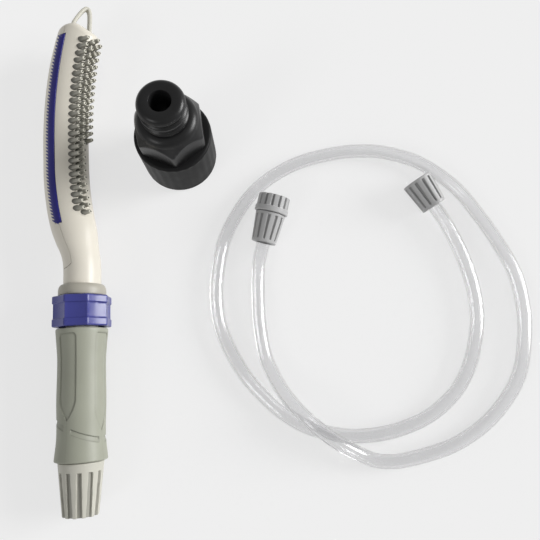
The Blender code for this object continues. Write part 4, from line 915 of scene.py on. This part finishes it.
# Hanging loop
LOOP_PEAK, LOOP_FOOT = HEAD_END + 14.8 * MM, HEAD_END - 12.5 * MM
LOOP_SIDE, LOOP_LEVEL, LOOP_HALF_SPAN = 0.1 * MM, -2.85 * MM, 5.9 * MM
LOOP_TURN = math.radians(28.7)
LOOP_LINE = (  # (share of the half span, share of the rise)
    (-1.0, 0.0),
    (-1.0, 0.434),
    (-0.71, 0.608),
    (-0.20, 0.800),
    (0.25, 0.938),
    (0.61, 1.0),
    (0.90, 0.962),
    (1.03, 0.833),
    (1.03, 0.608),
    (1.0, 0.434),
    (1.0, 0.0),
)
LOOP_WIDTH, LOOP_THICKNESS, LOOP_SIDES = 4.6 * MM, 2.8 * MM, 16


def loop_point(across, along, width):
    """A place on the loop, which is turned about the wand's axis."""
    span = Vector((-math.cos(LOOP_TURN), math.sin(LOOP_TURN), 0))
    face = Vector((math.sin(LOOP_TURN), math.cos(LOOP_TURN), 0))
    return Vector((LOOP_SIDE, LOOP_LEVEL, along)) + span * across + face * width


def loop_slots():
    """The two slots in the tip that take the loop's feet."""
    bm = bmesh.new()
    half, wide = LOOP_THICKNESS / 2 + GAP, LOOP_WIDTH / 2 + GAP
    for side in (-LOOP_HALF_SPAN, LOOP_HALF_SPAN):
        corners = ((side - half, -wide), (side + half, -wide), (side + half, wide), (side - half, wide))
        rings = [[loop_point(across, along, width) for across, width in corners] for along in (LOOP_FOOT, LOOP_PEAK)]
        add_rings(bm, rings, caps=True)
    return mesh_of(bm, "slots")


def make_head():
    hollow = head_solid("hollow", HEAD_WALL, SHELL_START - 10 * MM)
    seats = [comb_seat(-1), comb_seat(1)]
    slots = loop_slots()
    front = carve(head_solid("shell_front", 0.0, SHELL_START), [hollow, parting_block(True, 0.0), *seats, slots])
    rear = carve(head_solid("shell_rear", 0.0, SHELL_START), [slots, hollow, parting_block(False, GAP), *seats])
    dress("shell_front", front, WAND, "head_shell_front", sharp=30)
    dress("shell_rear", rear, WAND, "head_shell_rear", sharp=30)
    for name, node, side in (("comb_strip_left", "comb_left", -1), ("comb_strip_right", "comb_right", 1)):
        dress(name, comb_mesh(name, side), WAND, node, sharp=50)
    dress("water_nubs", make_nubs(), WAND, "nub_pad", sharp=60)


make_head()


def make_loop():
    rise = LOOP_PEAK - LOOP_FOOT
    route = [Vector((LOOP_HALF_SPAN * across, LOOP_FOOT + rise * share, 0)) for across, share in LOOP_LINE]
    path = smooth_path(route, 1.2 * MM)
    rings = []
    for i, point in enumerate(path):
        run = path[min(i + 1, len(path) - 1)] - path[max(i - 1, 0)]
        out = Vector((run.y, -run.x, 0)).normalized()
        ring = []
        for k in range(LOOP_SIDES):
            a = TURN * k / LOOP_SIDES
            wide = math.copysign(abs(math.cos(a)) ** 0.45, math.cos(a)) * LOOP_WIDTH / 2
            thick = math.copysign(abs(math.sin(a)) ** 0.7, math.sin(a)) * LOOP_THICKNESS / 2
            place = point + out * thick
            ring.append(loop_point(place.x, place.y, wide))
        rings.append(ring)
    dress("loop_band", ring_mesh("loop_band", rings, wrap=False, caps=True), WAND, "hanging_loop", sharp=60)


make_loop()

# ---------------------------------------------------------------- nuts


CAVITY_GAP, NUT_EDGE, NUT_EDGE_REACH = 1.3 * GAP, 0.6 * MM, 0.7 * MM
CLAMP_CAVITY, CLAMP_MOUTH = 7.0 * MM + CAVITY_GAP, 5.7 * MM
INLET_CAVITY, INLET_MOUTH = 8.5 * MM + CAVITY_GAP, 5.4 * MM
# GROOVE_SHADE and SWIVEL_SHADE set how dark the painted shade is in the nuts' grooves and the swivel's flutes.
NUT_GROOVES, GROOVE_FINENESS, GROOVE_SHADE, SWIVEL_SHADE = 12, 20, 0.36, 0.45


def groove_depth(angle, count, share, turn, radius, depth, soft):
    """How deep a ring of grooves is at an angle, each taking a share of its pitch."""
    pitch = TURN / count
    aside = off_angle((angle - turn) % pitch, 0.0)
    aside = min(aside, pitch - aside)
    return depth * step_up(0.0, soft, (share * pitch / 2 - aside) * radius)


def tapered_nut(name, node, matrix, narrow, wide, length, depth, shares, grooves, bore, turn, soft):
    """A nut that widens along its length. Its grooves run between two heights, and their width changes as they go."""
    low, high = grooves

    def groove_at(height, angle, radius, full_depth):
        inside = min(height - low if low > 0 else 1.0, high - height)
        share = blend(shares[0], shares[1], height / length)
        deep = groove_depth(angle, NUT_GROOVES, share, turn, radius, full_depth, soft)
        return step_up(0.0, 0.8 * MM, inside) * deep

    def radius_at(height, angle):
        radius = blend(narrow, wide, height / length)
        rounding = edge_rounding(NUT_EDGE, min(height, length - height), NUT_EDGE_REACH)
        return radius - groove_at(height, angle, radius, depth) - rounding

    # Painted shade in the grooves, darker where they are deeper.
    def shade_at(height, angle):
        return GROOVE_SHADE * groove_at(height, angle, wide, 1.0)

    heights = steps(0, 0.7 * MM, 0.14 * MM) + steps(1.2 * MM, 4.0 * MM, 0.35 * MM)
    heights += steps(5 * MM, length - 8.0 * MM, 1.6 * MM) + steps(length - 7.2 * MM, length - 1.4 * MM, 0.35 * MM)
    heights += steps(length - 0.7 * MM, length, 0.14 * MM)
    sides = NUT_GROOVES * GROOVE_FINENESS
    dress(name, field_tube(name, heights, radius_at, bore, sides, shade_at), matrix, node)


def nut_bore(cavity, mouth, length, chamfer):
    """The nut's inside: a wide cavity, then a lip round the hose's mouth."""
    lip = 1.6 * MM
    return [(cavity, length), (cavity, lip), (mouth, lip), (mouth, chamfer), (mouth + 0.4 * MM, 0.0)]


def make_nuts():
    tapered_nut(
        "inlet_cover", "inlet_nut", WAND, 11.4 * MM, 14.6 * MM, INLET_NUT_LENGTH, 1.6 * MM, (0.64, 0.36),
        (0.0, INLET_NUT_LENGTH - 5.6 * MM), nut_bore(INLET_CAVITY, INLET_MOUTH, INLET_NUT_LENGTH, 0.5 * MM),
        math.radians(50.5), 0.45 * MM,
    )
    for name, node, matrix, narrow, wide, length in (
        ("tap_nut", "tap_end_nut", TAP_END, 8.75 * MM, 10.6 * MM, TAP_NUT_LENGTH),
        ("wand_end_clamp_nut", "wand_end_nut", WAND_END, 8.9 * MM, 10.9 * MM, WAND_NUT_LENGTH),
    ):
        tapered_nut(
            name, node, matrix, narrow, wide, length, 1.15 * MM, (0.34, 0.46), (2.0 * MM, length - 1.6 * MM),
            nut_bore(CLAMP_CAVITY, CLAMP_MOUTH, length, 0.4 * MM), 0.0, 0.55 * MM,
        )


make_nuts()

SWIVEL_RADIUS, SWIVEL_CROWN_RADIUS, SWIVEL_BORE, SWIVEL_FLUTES = 11.85 * MM, 11.2 * MM, 9.4 * MM, 14
SWIVEL_LOW = TAP_NUT_LENGTH + GAP
SWIVEL_BAND_TOP = SWIVEL_LOW + 4.0 * MM
SWIVEL_HIGH = SWIVEL_BAND_TOP + 8.4 * MM


def swivel_radius(height, angle):
    """A plain band, then a fluted crown."""
    band = step_up(0.0, 0.7 * MM, SWIVEL_BAND_TOP + 0.35 * MM - height)
    radius = blend(SWIVEL_CROWN_RADIUS, SWIVEL_RADIUS, band)
    sunk = groove_depth(angle, SWIVEL_FLUTES, 0.42, 0.0, radius, 1.15 * MM, 0.7 * MM) * (1 - band)
    inside = min(height - SWIVEL_LOW, SWIVEL_HIGH - height)
    return radius - sunk - edge_rounding(NUT_EDGE, inside, NUT_EDGE_REACH)


# Painted shade in the crown's flutes.
def swivel_shade(height, angle):
    crown = step_up(0.0, 0.7 * MM, height - SWIVEL_BAND_TOP)
    return SWIVEL_SHADE * crown * groove_depth(angle, SWIVEL_FLUTES, 0.42, 0.0, SWIVEL_RADIUS, 1.0, 0.7 * MM)


def make_swivel():
    heights = steps(SWIVEL_LOW, SWIVEL_LOW + 0.7 * MM, 0.14 * MM)
    heights += steps(SWIVEL_LOW + 1.4 * MM, SWIVEL_BAND_TOP - 0.6 * MM, 0.6 * MM)
    heights += steps(SWIVEL_BAND_TOP - 0.4 * MM, SWIVEL_BAND_TOP + 0.5 * MM, 0.15 * MM)
    heights += steps(SWIVEL_BAND_TOP + 1.2 * MM, SWIVEL_HIGH - 1.2 * MM, 0.9 * MM)
    heights += steps(SWIVEL_HIGH - 0.7 * MM, SWIVEL_HIGH, 0.14 * MM)
    shoulder = SWIVEL_LOW + 2.4 * MM
    bore = [(SWIVEL_BORE, SWIVEL_HIGH), (SWIVEL_BORE, shoulder), (CLAMP_CAVITY, shoulder), (CLAMP_CAVITY, SWIVEL_LOW)]
    mesh = field_tube("tap_ring", heights, swivel_radius, bore, SWIVEL_FLUTES * 18, swivel_shade)
    dress("tap_ring", mesh, TAP_END, "tap_end_ring")


make_swivel()

# ---------------------------------------------------------------- tap adapter

RING_HEIGHT, RING_RADIUS, RING_RIBS, RIB_DEPTH, RING_SHOULDER = 40.0 * MM, 26.6 * MM, 26, 0.3 * MM, 6.2 * MM
SOCKET_RADIUS, SOCKET_NECK, SOCKET_FLANGE = 24.0 * MM, 20.0 * MM, 3.5 * MM
HEX_APOTHEM, HEX_CORNER, HEX_HEIGHT, HEX_CHAMFER = 21.4 * MM, 24.4 * MM, 20.7 * MM, 7.0 * MM
DOME_HEIGHT, NOSE_RADIUS, NOSE_NECK, NOSE_RIM, NOSE_BORE = 6.0 * MM, 15.4 * MM, 13.9 * MM, 11.0 * MM, 6.8 * MM
NOSE_RIDGES, NOSE_RIDGE_PITCH, NOSE_ROUND, ADAPTER_HEIGHT = 3, 7.0 * MM, 4.4 * MM, 88.0 * MM
ADAPTER_SIDES = 192


def adapter_outline():
    """The body's turned outside, from the foot of its hex to its nose, as (radius, height)."""
    low = RING_HEIGHT + GAP
    high = low + HEX_HEIGHT
    dome = high + DOME_HEIGHT
    outline = [(HEX_CORNER - 0.8 * MM, low), (HEX_CORNER - 0.2 * MM, low + 0.3 * MM), (HEX_CORNER, low + 0.9 * MM)]
    outline += [(HEX_CORNER, h) for h in steps(low + 3 * MM, high - HEX_CHAMFER - 1 * MM, 2 * MM)]
    for k in range(13):
        outline.append((blend(HEX_CORNER, HEX_APOTHEM - 0.4 * MM, k / 12), high - HEX_CHAMFER * (1 - k / 12)))
    reach = HEX_APOTHEM - 0.8 * MM - NOSE_NECK
    for k in range(1, 13):
        a = TURN / 4 * k / 12
        outline.append((NOSE_NECK + reach * math.cos(a), high + (dome - high) * math.sin(a)))
    for k in range(NOSE_RIDGES):
        crest = dome + NOSE_RIDGE_PITCH * (k + 0.5)
        last = k == NOSE_RIDGES - 1
        flat = ADAPTER_HEIGHT - NOSE_ROUND if last else crest + 0.7 * MM
        for share in (0.3, 0.7, 0.93):
            radius = blend(NOSE_NECK, NOSE_RADIUS, math.sin(share * TURN / 4))
            outline.append((radius, crest - 1.9 * MM + 1.0 * MM * share))
        outline += [(NOSE_RADIUS, crest - 0.7 * MM), (NOSE_RADIUS, flat)]
        if not last:
            for share in (0.25, 0.5, 0.75, 1.0):
                outline.append((blend(NOSE_RADIUS, NOSE_NECK, share**1.3), flat + 1.2 * MM * share))
    for k in range(1, 9):
        a = TURN / 4 * k / 8
        radius = NOSE_RIM + (NOSE_RADIUS - NOSE_RIM) * math.cos(a)
        outline.append((radius, ADAPTER_HEIGHT - NOSE_ROUND * (1 - math.sin(a))))
    return outline


def make_adapter():
    flange = RING_HEIGHT - RING_SHOULDER - GAP

    def hexed(radius, angle):
        off = off_angle(angle % (TURN / 6), TURN / 12)
        return min(radius, HEX_APOTHEM / math.cos(off))

    outline = adapter_outline()
    lower = [
        (NOSE_BORE, flange - SOCKET_FLANGE),
        (SOCKET_RADIUS - GAP, flange - SOCKET_FLANGE),
        (SOCKET_RADIUS - GAP, flange),
        (SOCKET_NECK, flange),
        (SOCKET_NECK, RING_HEIGHT + GAP),
    ]
    upper = [
        (NOSE_BORE + 1.2 * MM, ADAPTER_HEIGHT),
        (NOSE_BORE + 0.35 * MM, ADAPTER_HEIGHT - 0.35 * MM),
        (NOSE_BORE, ADAPTER_HEIGHT - 1.2 * MM),
    ]
    angles = [TURN * i / ADAPTER_SIDES for i in range(ADAPTER_SIDES)]
    rings = [[around(r, a, h) for a in angles] for r, h in lower]
    rings += [[around(hexed(r, a), a, h) for a in angles] for r, h in outline]
    rings += [[around(r, a, h) for a in angles] for r, h in upper]
    dress("adapter_nose", ring_mesh("adapter_nose", rings), ADAPTER, "adapter_body", sharp=30)

    def ring_radius(height, angle):
        fade = min(step_up(0.7 * MM, 3.0 * MM, height), step_up(1.2 * MM, 3.5 * MM, RING_HEIGHT - height))
        rib = RIB_DEPTH * fade * (0.5 - 0.5 * math.cos(angle * RING_RIBS))
        rounding = edge_rounding(1.8 * MM, height, 1.8 * MM)
        rounding += edge_rounding(2.0 * MM, RING_HEIGHT - height, 2.4 * MM)
        return RING_RADIUS - rib - rounding

    heights = steps(0, 1.8 * MM, 0.25 * MM) + steps(2.2 * MM, 4 * MM, 0.6 * MM) + steps(6 * MM, 34 * MM, 3 * MM)
    heights += steps(35 * MM, RING_HEIGHT - 2.6 * MM, 0.7 * MM)
    heights += steps(RING_HEIGHT - 2.3 * MM, RING_HEIGHT, 0.25 * MM)
    neck = SOCKET_NECK + CAVITY_GAP
    shoulder = RING_HEIGHT - RING_SHOULDER
    bore = [(neck, RING_HEIGHT), (neck, shoulder), (SOCKET_RADIUS, shoulder), (SOCKET_RADIUS, 0)]
    skirt = field_tube("adapter_skirt", heights, ring_radius, bore, RING_RIBS * 10)
    dress("adapter_skirt", skirt, ADAPTER, "adapter_ring", BLACK_RING, sharp=30)


make_adapter()

# ---------------------------------------------------------------- cord, stage and light


FLOOR_HALF, FLOOR_TONE, FLOOR_GLOW, GLOW_SHARE, WORLD_STRENGTH = 4.0, 0.863, 0.917, 0.72, 0.4


def pale_ground():
    """A pale floor that takes a soft shadow, and partly glows for the eye, for gloss and through the hose."""
    made, tree, shader = make_material("floor")
    shader.inputs["Base Color"].default_value = (FLOOR_TONE, FLOOR_TONE, FLOOR_TONE, 1.0)
    shader.inputs["Roughness"].default_value = 0.9
    shader.inputs["Specular IOR Level"].default_value = 0.1
    glow = add_node(tree, "ShaderNodeEmission", Color=(FLOOR_GLOW, FLOOR_GLOW, FLOOR_GLOW, 1.0), Strength=1.0)
    ray = add_node(tree, "ShaderNodeLightPath")
    seen = ray.outputs["Is Camera Ray"]
    for other in ("Is Glossy Ray", "Is Transmission Ray"):
        either = add_node(tree, "ShaderNodeMath", operation="MAXIMUM")
        tree.links.new(seen, either.inputs[0])
        tree.links.new(ray.outputs[other], either.inputs[1])
        seen = either.outputs["Value"]
    share = add_node(tree, "ShaderNodeMath", operation="MULTIPLY")
    tree.links.new(seen, share.inputs[0])
    share.inputs[1].default_value = GLOW_SHARE
    blend_shader = add_node(tree, "ShaderNodeMixShader")
    tree.links.new(share.outputs["Value"], blend_shader.inputs["Fac"])
    tree.links.new(shader.outputs["BSDF"], blend_shader.inputs[1])
    tree.links.new(glow.outputs["Emission"], blend_shader.inputs[2])
    tree.links.new(blend_shader.outputs["Shader"], tree.nodes["Material Output"].inputs["Surface"])
    return made


def make_floor():
    bm = bmesh.new()
    signs = ((-1, -1), (1, -1), (1, 1), (-1, 1))
    bm.faces.new([bm.verts.new((x * FLOOR_HALF, y * FLOOR_HALF, 0.0)) for x, y in signs])
    floor = bpy.data.objects.new("floor", mesh_of(bm, "floor"))
    bpy.context.scene.collection.objects.link(floor)
    floor.data.materials.append(pale_ground())


make_floor()


def make_world():
    world = bpy.data.worlds.new("world")
    bpy.context.scene.world = world
    world.use_nodes = True
    shade = world.node_tree.nodes["Background"]
    shade.inputs["Color"].default_value = (1.0, 1.0, 1.0, 1.0)
    shade.inputs["Strength"].default_value = WORLD_STRENGTH


make_world()


def add_side_light(name, azimuth, elevation, spread, strength):
    """A soft far light. The azimuth is counted from +X towards +Y."""
    lamp = bpy.data.lights.new(name, "SUN")
    lamp.angle = math.radians(spread)
    lamp.energy = strength
    holder = bpy.data.objects.new(name, lamp)
    bpy.context.scene.collection.objects.link(holder)
    flat = math.cos(elevation)
    from_light = Vector((math.cos(azimuth) * flat, math.sin(azimuth) * flat, math.sin(elevation)))
    holder.rotation_euler = (-from_light).to_track_quat("-Z", "Y").to_euler()


add_side_light("key", math.radians(12), math.radians(20), 28, 3.2)
add_side_light("fill", math.radians(225), math.radians(35), 20, 0.5)
